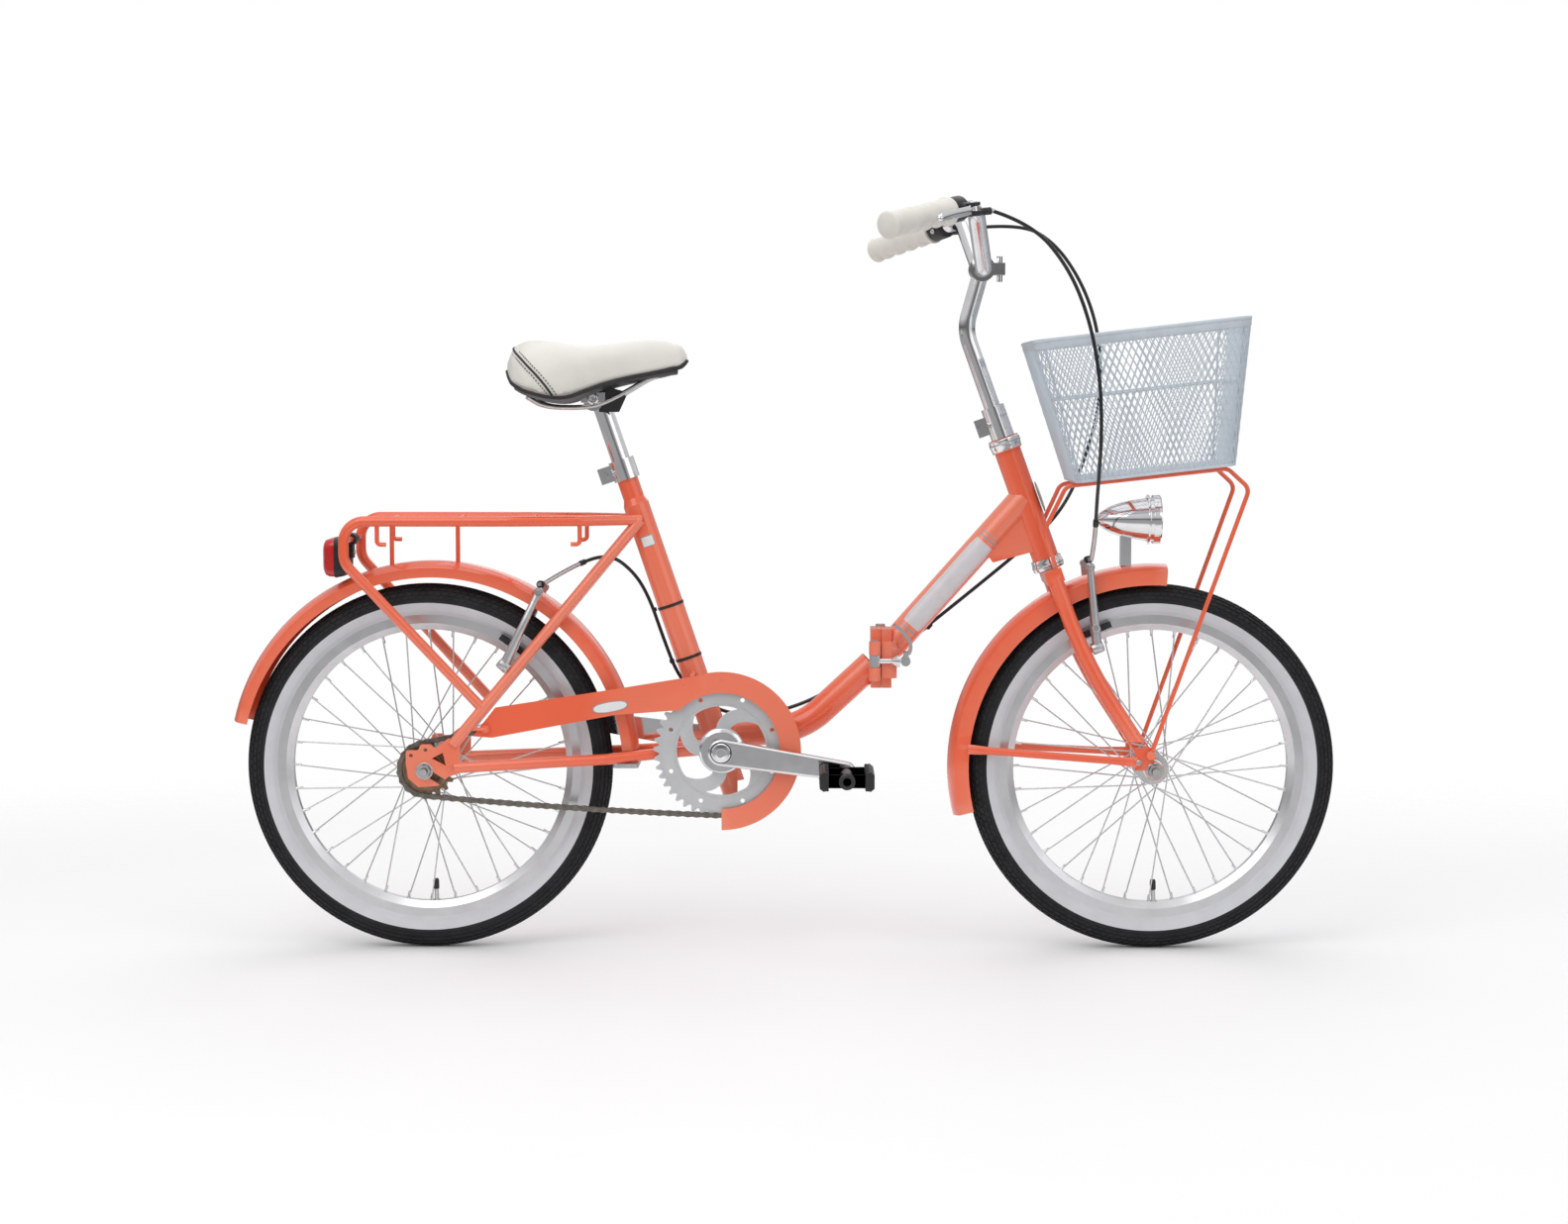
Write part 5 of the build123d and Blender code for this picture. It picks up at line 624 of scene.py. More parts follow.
upper, lower = SLOPE + math.pi / 2 + LEAN, SLOPE - math.pi / 2 - LEAN
on_ring = wrap(BRACKET, RING_PITCH, 44, upper, lower)
on_sprocket = wrap(REAR, SPROCKET_PITCH, 18, lower, upper - TAU)
pins = (on_ring + straight(on_ring[-1], on_sprocket[0], 3.0)
        + on_sprocket + straight(on_sprocket[-1], on_ring[0]))
links = Build(DARK_STEEL, BROWN_STEEL)
for number, (p, q) in enumerate(zip(pins, pins[1:] + pins[:1])):
    along = unit(q - p)
    across = np.cross(along, (0, 1, 0))
    half = np.linalg.norm(q - p) / 2
    outline = [(half + 3.9 * math.cos(a), 3.9 * math.sin(a)) for a in np.linspace(-1.9, 1.9, 9)]
    outline += [(0, 2.7)]
    outline += [(-half - 3.9 * math.cos(a), 3.9 * math.sin(a)) for a in np.linspace(1.9, -1.9, 9)]
    outline += [(0, -2.7)]
    near, far = (2.3, 3.3) if number % 2 else (3.4, 4.3)
    n = len(outline)
    middle = (p + q) / 2 - vec(0, CHAIN_SIDE, 0)
    for side in (-1, 1):
        verts = [middle + x * along + y * across + vec(0, side * off, 0) for off in (near, far)
                 for x, y in outline]
        faces = [tuple(range(n)), tuple(reversed(range(n, 2 * n)))]
        faces += [(k, n + k, n + (k + 1) % n, (k + 1) % n) for k in range(n)]
        if side < 0:
            faces = [tuple(reversed(f)) for f in faces]
        links.add(verts, faces, 0)
    pin_at = p - vec(0, CHAIN_SIDE, 0)
    links.add(*lathe([(0.01, -5.0), (1.7, -4.9), (1.7, 4.9), (0.01, 5.0)], pin_at, (0, 1, 0), 10), 0)
    links.add(*lathe([(3.85, -2.2), (3.85, 2.2)], pin_at, (0, 1, 0), 12), 1)
links.done("chain_links", "rear_frame", "dark_steel", ["chain"])


def toothed(teeth, pitch_radius, first):
    """Outline of a chain wheel with hooked-in round gaps between short teeth."""
    outline = []
    step = TAU / teeth
    for k in range(teeth):
        gap = first + k * step
        for share, lift in ((0.0, -4.6), (0.16, -3.6), (0.26, -1.0), (0.40, 2.6), (0.60, 2.6), (0.74, -1.0),
                            (0.84, -3.6)):
            a = gap + share * step
            outline.append(((pitch_radius + lift) * math.cos(a), (pitch_radius + lift) * math.sin(a)))
    return outline


def swirl_window(start, inner, outer, width, twist):
    """Curved window between two spiral arms."""
    points = []
    for k in range(7):
        points.append((inner, start + width * k / 6))
    for k in range(1, 6):
        points.append((inner + (outer - inner) * k / 6, start + width + twist * (k / 6) ** 1.4))
    for k in range(9):
        points.append((outer, start + width * 1.02 + twist - width * 1.02 * k / 8))
    for k in range(5, 0, -1):
        points.append((inner + (outer - inner) * k / 6, start + twist * (k / 6) ** 1.4))
    return rounded([(r * math.cos(a), r * math.sin(a)) for r, a in points], 2)


ring = Build(RING_GREY)
holes = [swirl_window(math.radians(20 + 90 * k), 31, 61, math.radians(58), math.radians(34))
         for k in range(4)]
for k in range(8):
    a = math.radians(22.5 + 45 * k)
    holes.append([(74 * math.cos(a) + x, 74 * math.sin(a) + y) for x, y in ring_points(3.4, 16)])
holes.append(ring_points(9.0, 32))
ring.add(*plate([toothed(44, RING_PITCH, -upper)] + holes, BRACKET - vec(0, CHAIN_SIDE, 0), (1, 0, 0),
                (0, 0, -1),
                3.0, 0.4))
ring.add(*lathe([(84.0, 0), (84.0, 0.5), (82.6, 0.5), (82.6, 0)], BRACKET - vec(0, CHAIN_SIDE + 1.5, 0),
                (0, -1, 0), 120))
ring.add(*lathe([(65.0, 0), (64.6, 0.7), (63.4, 0.7), (63.0, 0)], BRACKET - vec(0, CHAIN_SIDE + 1.5, 0),
                (0, -1, 0), 120))
ring.done("chainring_swirl", "crankset", "grey_ring", ["chainring"])

cluster = Build(BROWN_STEEL, DARK_STEEL)
cluster.add(*plate([toothed(18, SPROCKET_PITCH, -lower), ring_points(22.0, 40)], REAR - vec(0, CHAIN_SIDE, 0),
                   (1, 0, 0), (0, 0, -1), 2.4, 0.35), 0)
shell = [(29.5, -1.4), (29.5, 2.0), (28.0, 3.0), (25.5, 3.2), (25.0, 6.0), (23.6, 6.6), (21.5, 6.6),
         (21.0, 5.2), (15.0, 5.2), (14.5, 6.4), (11.3, 6.4), (11.3, -6.5), (24.0, -6.5), (24.0, -1.4)]
cluster.add(*lathe(shell, REAR - vec(0, CHAIN_SIDE, 0), (0, -1, 0), 60, True), 0)
for k in range(2):
    a = math.radians(40 + 180 * k)
    cluster.add(*lathe([(2.2, 0), (2.2, 0.6), (1.0, 0.2), (0.01, 0.2)],
                       REAR + vec(18 * math.cos(a), -CHAIN_SIDE - 5.2, 18 * math.sin(a)), (0, -1, 0), 14), 1)
cluster.done("freewheel_shell", "freewheel", "brown_steel", ["freewheel_sprocket"])

# ---- cranks and pedals ----------------------------------------------------------------------------
caps = Build(CHROME, BLACK)
for side in (-1, 1):
    face = BRACKET + vec(0, side * 72, 0)
    caps.add(*lathe([(13.0, -0.8), (13.0, 1.0), (11.6, 2.2), (6.5, 2.6), (6.0, 1.6), (0.01, 1.6)], face,
                    (0, side, 0), 40), 0)
    caps.add(*lathe([(14.6, -0.3), (14.2, 0.4), (13.0, 0.4)], face, (0, side, 0), 40), 1)
caps.done("crank_caps", "crankset", "chrome")
spider = Build(CHROME, STEEL)
spider.add(*lathe([(30.0, 0), (30.0, 2.2), (27.5, 4.0), (19.0, 4.6)], BRACKET - vec(0, CHAIN_SIDE + 1.5, 0),
                  (0, -1, 0), 60), 0)
for k in range(5):
    a = TAU * (k + 0.3) / 5
    bolt(spider, BRACKET + vec(24.5 * math.cos(a), -CHAIN_SIDE - 5.5, 24.5 * math.sin(a)), (0, -1, 0), 3.0,
         1.6, 1)
spider.done("crank_spider", "crankset", "chrome")

for name, side, joint in (("right", -1, "right_pedal_spin"), ("left", 1, "left_pedal_spin")):
    eye = joint_at(joint)
    eye = vec(eye[0], 0, eye[2])
    middle = eye + vec(0, side * 123, 0)
    pedal = Build(BLACK, CHROME, RUBBER)
    core = [(6.0, -45), (10.5, -44), (11.5, -38), (8.5, -30), (8.0, 0), (8.5, 30), (11.0, 38), (11.0, 43),
            (8.0, 45), (5.5, 45)]
    pedal.add(*lathe(core, middle, (0, side, 0), 28), 0)
    for end in (-1, 1):
        for y in (-33.0, 33.0):
            pedal.add(*block((-28, y - 6, -9), (28, y + 6, 9), origin=middle), 0)
        outline = [(end * x, z) for x, z in ((24, -11.5), (31, -13), (36, -9), (36, 9), (31, 13), (24, 11.5))]
        if end < 0:
            outline.reverse()
        verts = [middle + vec(x, y, z) for y in (-44.0, 44.0) for x, z in outline]
        n = len(outline)
        faces = [tuple(range(n)), tuple(reversed(range(n, 2 * n)))]
        faces += [(k, n + k, n + (k + 1) % n, (k + 1) % n) for k in range(n)]
        pedal.add(verts, faces, 0)
        for k in range(9):
            y = -38.0 + 9.5 * k
            for z in (-1, 1):
                pedal.add(*block((24, y - 1.6, 10.4), (32, y + 1.6, 13.0), (end, 0, 0), (0, end * z, 0),
                                 middle), 2)
        pedal.add(*block((end * 36.0 - 0.6, -26, -6), (end * 36.0 + 0.0, 26, 6), origin=middle), 1)
    pedal.done("pedal_" + name + "_cage", name + "_pedal", "black_plastic", ["pedal_" + name], bevel=0.7)

# ---- saddle ---------------------------------------------------------------------------------------
SADDLE_LOW, SADDLE_HIGH = (np.array(c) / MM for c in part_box("saddle"))
SADDLE_BACK, SADDLE_TOP = SADDLE_LOW[0], SADDLE_HIGH[2]
PLACES = [0, 6, 20, 40, 62, 84, 110, 131, 160, 194, 220, 236, 241]
TOPS = [-30, -15, -4, -0.5, -2, -4.5, -7, -6, -3, -0.5, -5, -13, -22]
EDGES = [-42, -54, -65, -72, -77, -77, -68, -60, -52, -45, -39, -34, -28]
WIDTHS = [30, 56, 82, 93, 95, 89, 71, 54, 38, 27, 22, 15, 7]


def smooth_table(x, values):
    """Value between the places by a smooth cubic."""
    slopes = np.gradient(np.array(values, float), np.array(PLACES, float))
    k = int(np.clip(np.searchsorted(PLACES, x) - 1, 0, len(PLACES) - 2))
    step = PLACES[k + 1] - PLACES[k]
    t = (x - PLACES[k]) / step
    return ((2 * t**3 - 3 * t**2 + 1) * values[k] + (t**3 - 2 * t**2 + t) * step * slopes[k]
            + (-2 * t**3 + 3 * t**2) * values[k + 1] + (t**3 - t**2) * step * slopes[k + 1])


def on_saddle(x, turn, out=0.0):
    """Point on the skin: turn is -pi/2 at the right edge, 0 on the ridge and pi/2 at the left edge."""
    top, low, wide = (smooth_table(x, t) for t in (TOPS, EDGES, WIDTHS))
    s, c = math.sin(turn), math.cos(turn)
    dip = 2.6 * math.exp(-(turn / 0.30) ** 2) * math.exp(-((x - 95) / 70) ** 2)
    height = (top - low) * abs(c) ** 0.62
    return vec(SADDLE_BACK + x, (wide + out) * s, SADDLE_TOP + low + height - dip + out * abs(c))


def saddle_turn(x, z):
    """Turn at which the skin has the height z."""
    top, low = smooth_table(x, TOPS), smooth_table(x, EDGES)
    return -math.acos(min(1.0, max(0.0, (z - low) / (top - low)) ** (1 / 0.62)))


skin = Build(LEATHER)
across, stations = 30, 56
rows = []
for i in range(stations + 1):
    x = 0.5 + 240 * (0.5 - 0.5 * math.cos(math.pi * i / stations))
    row = [on_saddle(x, -math.pi / 2 + math.pi * k / across) for k in range(across + 1)]
    tuck = [p * (1, 0.9, 1) + vec(0, 0, -1.5) for p in (row[-1], row[0])]
    rows.append(row + tuck)
n = across + 3
verts = [p for row in rows for p in row]
faces = []
for i in range(stations):
    for k in range(n - 1):
        a = i * n + k
        faces.append((a, a + n, a + n + 1, a + 1))
    faces.append((i * n + n - 1, (i + 1) * n + n - 1, (i + 1) * n, i * n))
faces.append(tuple(range(n)))
faces.append(tuple(reversed(range(stations * n, stations * n + n))))
skin.add(verts, faces)
cover = skin.done("saddle_cover", "saddle_post", "cream_leather", ["saddle"], subdivide=1, sharp=80)

trim = Build(RUBBER)
edge = [on_saddle(0.5 + 240 * k / 60, -math.pi / 2, 0.6) + vec(0, 0, -1) for k in range(61)]
edge += [p * (1, -1, 1) for p in reversed(edge)]
trim.add(*sweep(edge, 2.3, sides=8, closed=True))
SEAM = [(67, -77), (57, -63), (45, -49), (33, -37), (23, -27), (14, -19)]
seam_path = [on_saddle(x, saddle_turn(x, z), 0.3) for x, z in SEAM]
seam_path += [on_saddle(9, -0.5, 0.3), on_saddle(8, 0, 0.3)]
seam_path = smooth_path(seam_path + [p * (1, -1, 1) for p in reversed(seam_path[:-1])], 90)
trim.add(*sweep(seam_path, 1.5, sides=8))
trim.done("saddle_piping", "saddle_post", "black_plastic")
stitches = Build(RUBBER)
for shift in (-5.0, 5.0):
    line = [on_saddle(x + shift, saddle_turn(x + shift, z + 0.35 * shift), 0.35)
            for x, z in SEAM if x + shift > 8]
    line = smooth_path(line, 61)
    for k in range(0, 60, 3):
        for flip in (1, -1):
            ends = (line[k], line[k + 1], line[k + 1] * 0.3 + line[k + 2] * 0.7)
            pair = [p * (1, flip, 1) for p in ends]
            stitches.add(*sweep(pair, [0.5, 0.75, 0.5], sides=6))
stitches.done("saddle_stitches", "saddle_post", "black_plastic")

base = Build(BLACK, STEEL, CHROME)
pan = []
for i in range(25):
    x = 12 + 216 * i / 24
    low, wide = smooth_table(x, EDGES), smooth_table(x, WIDTHS)
    pan.append([vec(SADDLE_BACK + x, (wide - 5) * s, SADDLE_TOP + low + z)
                for s, z in ((-1, 1), (-0.96, -4), (-0.7, -8), (0, -10), (0.7, -8), (0.96, -4), (1, 1))])
verts = [p for row in pan for p in row]
faces = [(i * 7 + k, i * 7 + k + 1, i * 7 + k + 8, i * 7 + k + 7) for i in range(24) for k in range(6)]
faces += [tuple(reversed(range(7))), tuple(range(24 * 7, 25 * 7))]
faces += [(i * 7 + 6, i * 7, i * 7 + 7, i * 7 + 13) for i in range(24)]
base.add(verts, faces, 0)
for side in (-1, 1):
    rail = [vec(28, side * 42, -78), vec(45, side * 30, -88), vec(70, side * 21, -92),
            vec(115, side * 20, -90),
            vec(150, side * 18, -76), vec(185, side * 12, -56), vec(204, side * 8, -48)]
    base.add(*sweep(smooth_path([p + vec(SADDLE_BACK, 0, SADDLE_TOP) for p in rail], 40), 3.5, sides=12), 1)
POST_HEAD = on_seat(-8, 0, 500)
for low, high in (((-16, -27, -2), (16, -14, 12)), ((-16, 14, -2), (16, 27, 12)),
                  ((-13, -14, 2), (13, 14, 10))):
    base.add(*block(low, high, origin=POST_HEAD), 2)
for side in (-1, 1):
    bolt(base, POST_HEAD + vec(0, side * 27, 4), (0, side, 0), 8.0, 5.0, 2)
    base.add(*plate([[(-4, -14), (20, -14), (32, 12), (10, 18), (-4, 8)]], POST_HEAD + vec(12, side * 18, 0),
                    (1, 0, 0), (0, 0, 1), 3.0, 0.4), 0)
base.done("saddle_underframe", "saddle_post", "black_plastic", ["saddle_base"], bevel=0.8)

# ---- grips and levers -----------------------------------------------------------------------------
grips = Build(CREAM_RUBBER)
grip_start = on_lever(26, 0, 0)
rings, around = 96, 32
verts = []
for i in range(rings + 1):
    s = 126.0 * i / rings
    flange = 2.4 if s < 4 else 1.8 * math.exp(-((s - 4) / 4) ** 2)
    end = 1.6 * math.exp(-((s - 122) / 3.5) ** 2)
    if s > 122:
        end += -0.9 * ((s - 122) / 4) ** 2 * 2
    for k in range(around):
        a = TAU * k / around
        finger = 2.2 * math.cos(TAU * (s - 14) / 25.0) if 14 < s < 114 else 0.0
        under = max(0.0, math.cos(a)) ** 1.5
        rib = 0.28 * math.sin(s * 2.6) * max(0.0, -math.cos(a)) * (1 if 12 < s < 116 else 0)
        r = 16.2 + flange + end - 1.4 * under * (finger > 0) + finger * -0.6 * under + rib
        verts.append(grip_start + s * LEVER_ALONG + r * (-math.cos(a) * LEVER_UP + math.sin(a) * LEVER_AHEAD))
faces = [(i * around + k, i * around + (k + 1) % around, (i + 1) * around + (k + 1) % around,
          (i + 1) * around + k)
         for i in range(rings) for k in range(around)]
faces += [tuple(reversed(range(around))), tuple(rings * around + k for k in range(around))]
grips.add(verts, faces)
grips.mirrored()
grips.done("grip_sleeves", "bar", "cream_rubber", ["grips"], sharp=50)

for name, side in (("right", 1), ("left", -1)):
    lever = Build(CHROME)
    blade = smooth_path([on_lever(11, 31, 0), on_lever(20, 34, 0), on_lever(34, 39.5, 0),
                         on_lever(54, 40.5, 0),
                         on_lever(74, 39.5, 0), on_lever(92, 42.5, 0), on_lever(101, 46, 0)], 40)
    wide = np.interp(range(40), [0, 6, 20, 34, 39], [3.2, 5.6, 6.2, 5.2, 4.0])
    thin = np.interp(range(40), [0, 6, 34, 39], [3.0, 2.6, 2.2, 2.4])
    lever.add(*sweep(blade, thin, wide, 14, hint=LEVER_UP))
    knob = [(0.01, -4.8), (2.8, -4.0), (4.6, -1.6), (4.8, 0.6), (3.8, 3.2), (1.6, 4.7), (0.01, 5.0)]
    lever.add(*lathe(knob, on_lever(102, 46, 0), unit(blade[-1] - blade[-3]), 20))
    lever.add(*lathe([(7.0, -3.1), (7.0, 3.1)], on_lever(10, 30, 0), LEVER_UP, 28))
    lever.add(*lathe([(3.1, -3.1), (7.0, -3.1)], on_lever(10, 30, 0), LEVER_UP, 28))
    lever.add(*lathe([(7.0, 3.1), (3.1, 3.1)], on_lever(10, 30, 0), LEVER_UP, 28))
    if side < 0:
        lever.verts = [v * (1, -1, 1) for v in lever.verts]
        lever.faces = [tuple(reversed(f)) for f in lever.faces]
    lever.done(name + "_lever_blade", name + "_lever", "chrome", ["brake_lever_" + name])

fittings = Build(BLACK, CHROME, STEEL)
fittings.add(*lathe([(16.2, 0), (16.6, 1), (16.6, 22), (16.2, 23)], on_lever(0.5, 0, 0), LEVER_ALONG, 40), 0)
fittings.add(*sweep([BARREL_START, 0.5 * (BARREL_START + BARREL_END)], 5.2, sides=14), 0)
knurl = [(4.7 + 0.25 * (k % 2), 0.8 * k) for k in range(14)]
barrel_way = unit(BARREL_END - BARREL_START)
fittings.add(*lathe(knurl, BARREL_END - 10 * barrel_way, barrel_way, 24), 0)
fittings.add(*lathe([(2.6, 0), (3.4, 0.6), (3.4, 5), (2.6, 6)], BARREL_END, barrel_way, 16), 2)
bolt(fittings, on_lever(10, 30, 7.6), LEVER_UP, 5.0, 1.6, 2)
bolt(fittings, on_lever(12, -15.5, -6), -LEVER_AHEAD, 3.6, 2.5, 2)
fittings.mirrored()
fittings.done("lever_fittings", "bar", "black_plastic", bevel=0.4)

# ---- V-brakes -------------------------------------------------------------------------------------


def brake(prefix, eye, boss, lean, top, axle, body_right, body_left, frame_body):
    """Both arms of one brake with pads, boots and springs; the noodle comes with the cable."""
    for side, body, label in ((-1, body_right, "right"), (1, body_left, "left")):
        arm = Build(SATIN, RUBBER, STEEL)
        middle = eye + 0.25 * ARM_LENGTH * lean
        knee = vec(middle[0], eye[1] - 2.0, middle[2])
        upper_arm = eye + 0.6 * ARM_LENGTH * lean - vec(0, 1, 0)
        path = smooth_path([eye, knee, upper_arm, top - 4 * lean, top + 3 * lean], 26)
        arm.add(*sweep(path, np.interp(range(26), [0, 5, 16, 25], [7.0, 5.4, 4.2, 4.6]),
                       np.interp(range(26), [0, 5, 16, 25], [7.0, 6.2, 5.0, 5.4]), 14, hint=boss), 0)
        hub = [(4.3, -7), (7.6, -7), (8.0, -6), (8.0, 5.5), (7.2, 7), (4.3, 7)]
        arm.add(*lathe(hub, eye, boss, 32, True), 0)
        arm.add(*lathe([(7.4, 7.0), (7.4, 8.0), (6.0, 9.2), (3.2, 9.4), (3.0, 8.0), (0.01, 8.0)], eye, boss,
                       28), 2)
        arm.add(*sweep([top + vec(0, -7.5, 0), top + vec(0, 6.5, 0)], 5.6, sides=20), 0)
        bolt(arm, top + vec(0, -7.5, 0), (0, -1, 0), 4.4, 3.2, 2)
        radial = unit(vec(middle[0] - axle[0], 0, middle[2] - axle[2]))
        tangent = vec(radial[2], 0, -radial[0])
        pad = axle + 202.5 * radial
        for k in range(6):
            t = -23.0 + 7.75 * k
            sink = 0.9 * abs(k - 2.5)
            arm.add(*block((t, -4.0 + 0.1 * sink, 14.0), (t + 6.9, 4.0, 23.0 - 0.35 * sink), tangent,
                           radial, pad), 1)
        arm.add(*block((-22.0, -3.2, 17.0), (22.0, 3.2, 22.4), tangent, radial, pad), 1)
        stud = pad - vec(0, 22, 0)
        holder = vec(middle[0], -ARM_SIDE, middle[2])
        arm.add(*sweep([stud, 0.5 * (stud + holder), holder + vec(0, -7, 0)], 3.0, sides=14), 2)
        for share, radius in ((0.22, 6.4), (0.40, 7.0), (0.56, 6.2)):
            arm.add(*lathe([(radius - 1, -1.4), (radius, -0.8), (radius, 0.8), (radius - 1, 1.4)],
                           stud + share * (holder - stud), unit(holder - stud), 24), 2)
        arm.add(*lathe([(6.2, 0), (6.2, 3.6), (5.2, 4.6), (0.01, 4.6)], holder + vec(0, -5, 0), (0, -1, 0),
                       6), 2)
        spring = smooth_path([eye - 3 * boss + vec(0, 9.0, 0), middle - 6 * boss + vec(0, 8, 0),
                              eye + 0.5 * ARM_LENGTH * lean + vec(0, 6, 0) - 4 * boss], 16)
        arm.add(*sweep(spring, 1.0, sides=8), 2)
        if side > 0:
            arm.verts = [v * (1, -1, 1) for v in arm.verts]
            arm.faces = [tuple(reversed(f)) for f in arm.faces]
        arm.done(prefix + "_arm_" + label, body, "satin_alloy", [prefix + "_brake_arm_" + label], bevel=0.3,
                 sharp=40)
    boot = Build(RUBBER, STEEL, NOODLE)
    start, end = top + vec(0, -2, 9.0), top + vec(0, 2 * ARM_SIDE + 2, 7.0)
    elbow = smooth_path([top + vec(0, -2, 10), top + vec(0, 6, 9.4), top + vec(0, 20, 8.4)], 12)
    boot.add(*sweep(elbow, 2.6, sides=12), 2)
    profile = [(2.8, 0)]
    for k in range(9):
        profile += [(5.6 - 0.22 * k, 2 + 3.6 * k), (3.9 - 0.14 * k, 3.8 + 3.6 * k)]
    profile += [(2.4, 36), (1.1, 37)]
    boot.add(*lathe(profile, start + vec(0, 22, -0.8), unit(end - start), 24), 0)
    boot.add(*sweep([start + vec(0, 24, -0.8), end], 0.85, sides=8), 1)
    boot.done(prefix + "_brake_boot", frame_body, "black_plastic")


brake("front", FRONT_EYE, FRONT_BOSS, FRONT_LEAN, FRONT_TOP, FRONT, "front_arm_right", "front_arm_left",
      "steering")
brake("rear", REAR_EYE, REAR_BOSS, REAR_LEAN, REAR_TOP, REAR, "rear_arm_right", "rear_arm_left", "rear_frame")

# ---- basket ---------------------------------------------------------------------------------------
LEAN_ANGLE = math.radians(6.5)
BASKET_FOOT = FRONT + vec(-6, 0, 400)
BASKET_U = vec(math.cos(LEAN_ANGLE), 0, math.sin(LEAN_ANGLE))
BASKET_W = vec(-math.sin(LEAN_ANGLE), 0, math.cos(LEAN_ANGLE))
BASKET_LOW, BASKET_TALL, BASKET_WIDE = (214.0, 205.0, 25.0), 195.0, (293.0, 250.0, 35.0)


def in_basket(u, v, w):
    return BASKET_FOOT + u * BASKET_U + vec(0, v, 0) + w * BASKET_W


def wall_point(share, height, inset=0.0):
    """Point on the wall: share goes once round the rounded outline, height is 0 to 1 from the floor up."""
    long, wide, radius = ((1 - height) * a + height * b for a, b in zip(BASKET_LOW, BASKET_WIDE))
    long, wide, radius = long / 2 - inset, wide / 2 - inset, radius - inset
    runs = [long - radius, math.pi / 2 * radius, 2 * (wide - radius), math.pi / 2 * radius,
            2 * (long - radius),
            math.pi / 2 * radius, 2 * (wide - radius), math.pi / 2 * radius, long - radius]
    starts = [(0, -wide), (long - radius, -wide + radius), (long, -wide + radius),
              (long - radius, wide - radius),
              (long - radius, wide), (-long + radius, wide - radius), (-long, wide - radius),
              (-long + radius, -wide + radius), (-long + radius, -wide)]
    turns = [(1, 0), -90, (0, 1), 0, (-1, 0), 90, (0, -1), 180, (1, 0)]
    s = (share % 1.0) * sum(runs)
    for run, start, turn in zip(runs, starts, turns):
        if s <= run + 1e-6:
            if isinstance(turn, tuple):
                p = (start[0] + s * turn[0], start[1] + s * turn[1])
            else:
                a = math.radians(turn) + s / radius
                p = (start[0] + radius * math.cos(a), start[1] + radius * math.sin(a))
            return in_basket(p[0], p[1], height * BASKET_TALL)
        s -= run
    return in_basket(0, -wide, height * BASKET_TALL)


mesh_wires = Build(BASKET)
COUNT = 104
for way in (1, -1):
    for k in range(COUNT):
        wire = [wall_point((k + way * 10.0 * j / 12) / COUNT, 0.004 + 0.985 * j / 12, 1.6 + 0.5 * way)
                for j in range(13)]
        mesh_wires.add(*sweep(wire, 0.85, sides=5))


def across_floor(offset, way):
    """Ends of one diagonal floor wire inside the floor's rectangle."""
    half_u, half_v = BASKET_LOW[0] / 2 - 3, BASKET_LOW[1] / 2 - 3
    ends = []
    for t in np.linspace(-320, 320, 641):
        u, v = offset + t * 0.7071, way * t * 0.7071
        corner = max(0, abs(u) - half_u + 22) ** 2 + max(0, abs(v) - half_v + 22) ** 2
        if abs(u) < half_u and abs(v) < half_v and corner < 22**2:
            ends.append((u, v))
    return ends[:1] + ends[-1:] if len(ends) > 4 else None


for way in (1, -1):
    for k in range(-23, 24):
        ends = across_floor(k * 9.2, way)
        if ends:
            mesh_wires.add(*sweep([in_basket(u, v, 1.4 + 0.5 * way) for u, v in ends], 0.85, sides=5))
mesh_wires.done("basket_mesh", "steering", "blue_grey_wire", ["basket"])

hoops = Build(BASKET)
for height, radius, inset in ((0.985, 2.9, 3.0), (0.58, 1.6, 3.6), (0.012, 2.2, 2.4)):
    ring = [wall_point(k / 160, height, inset) for k in range(160)]
    hoops.add(*sweep(ring, radius, sides=10, closed=True))
hem = [wall_point(k / 160, 0.955, 1.6) for k in range(160)]
hoops.add(*sweep(hem, 1.2, 5.0, sides=8, closed=True, hint=BASKET_W))
for corner in (0.135, 0.365, 0.635, 0.865):
    hoops.add(*sweep([wall_point(corner, 0.01 + 0.97 * j / 8, 3.6) for j in range(9)], 1.5, sides=8))
for v in (-62, -21, 21, 62):
    hoops.add(*sweep([in_basket(-104, v, 3.6), in_basket(104, v, 3.6)], 1.6, sides=8))
hoops.done("basket_frame", "steering", "blue_grey_wire")

# ---- lamps ----------------------------------------------------------------------------------------
LAMP = FRONT + vec(8, 0, 337)
lamp = Build(CHROME, LENS, BLACK)
bezel = [(31.0, -1.8), (33.0, -1.0), (33.4, 0.6), (32.6, 2.2), (30.4, 2.6), (28.2, 1.2), (27.6, -1.2)]
lamp.add(*lathe(bezel, LAMP, (1, 0, 0), 72, True), 0)
lamp.add(*lathe([(0.01, 3.6), (10, 3.3), (20, 2.1), (28.6, -0.6)], LAMP, (1, 0, 0), 64), 1)
lamp.add(*lathe([(0.01, -26), (6, -25), (13, -19), (18.6, -8), (20.6, -1.5)], LAMP, (1, 0, 0), 56), 0)
lamp.add(*lathe([(0.01, -14), (2.6, -14.6), (4.0, -17), (4.0, -21), (2.4, -25)], LAMP, (1, 0, 0), 24), 1)
for turn in (90, 210, 330):
    a = math.radians(turn)
    bolt(lamp, LAMP + vec(0.8, 30.4 * math.cos(a), 30.4 * math.sin(a)), (1, 0, 0), 1.7, 1.4, 2)
lamp.add(*lathe([(33.25, -16), (33.5, -15.4), (33.5, -13.6), (33.25, -13)], LAMP, (1, 0, 0), 72), 0)
lamp.done("headlamp_glass", "steering", "chrome", sharp=30)

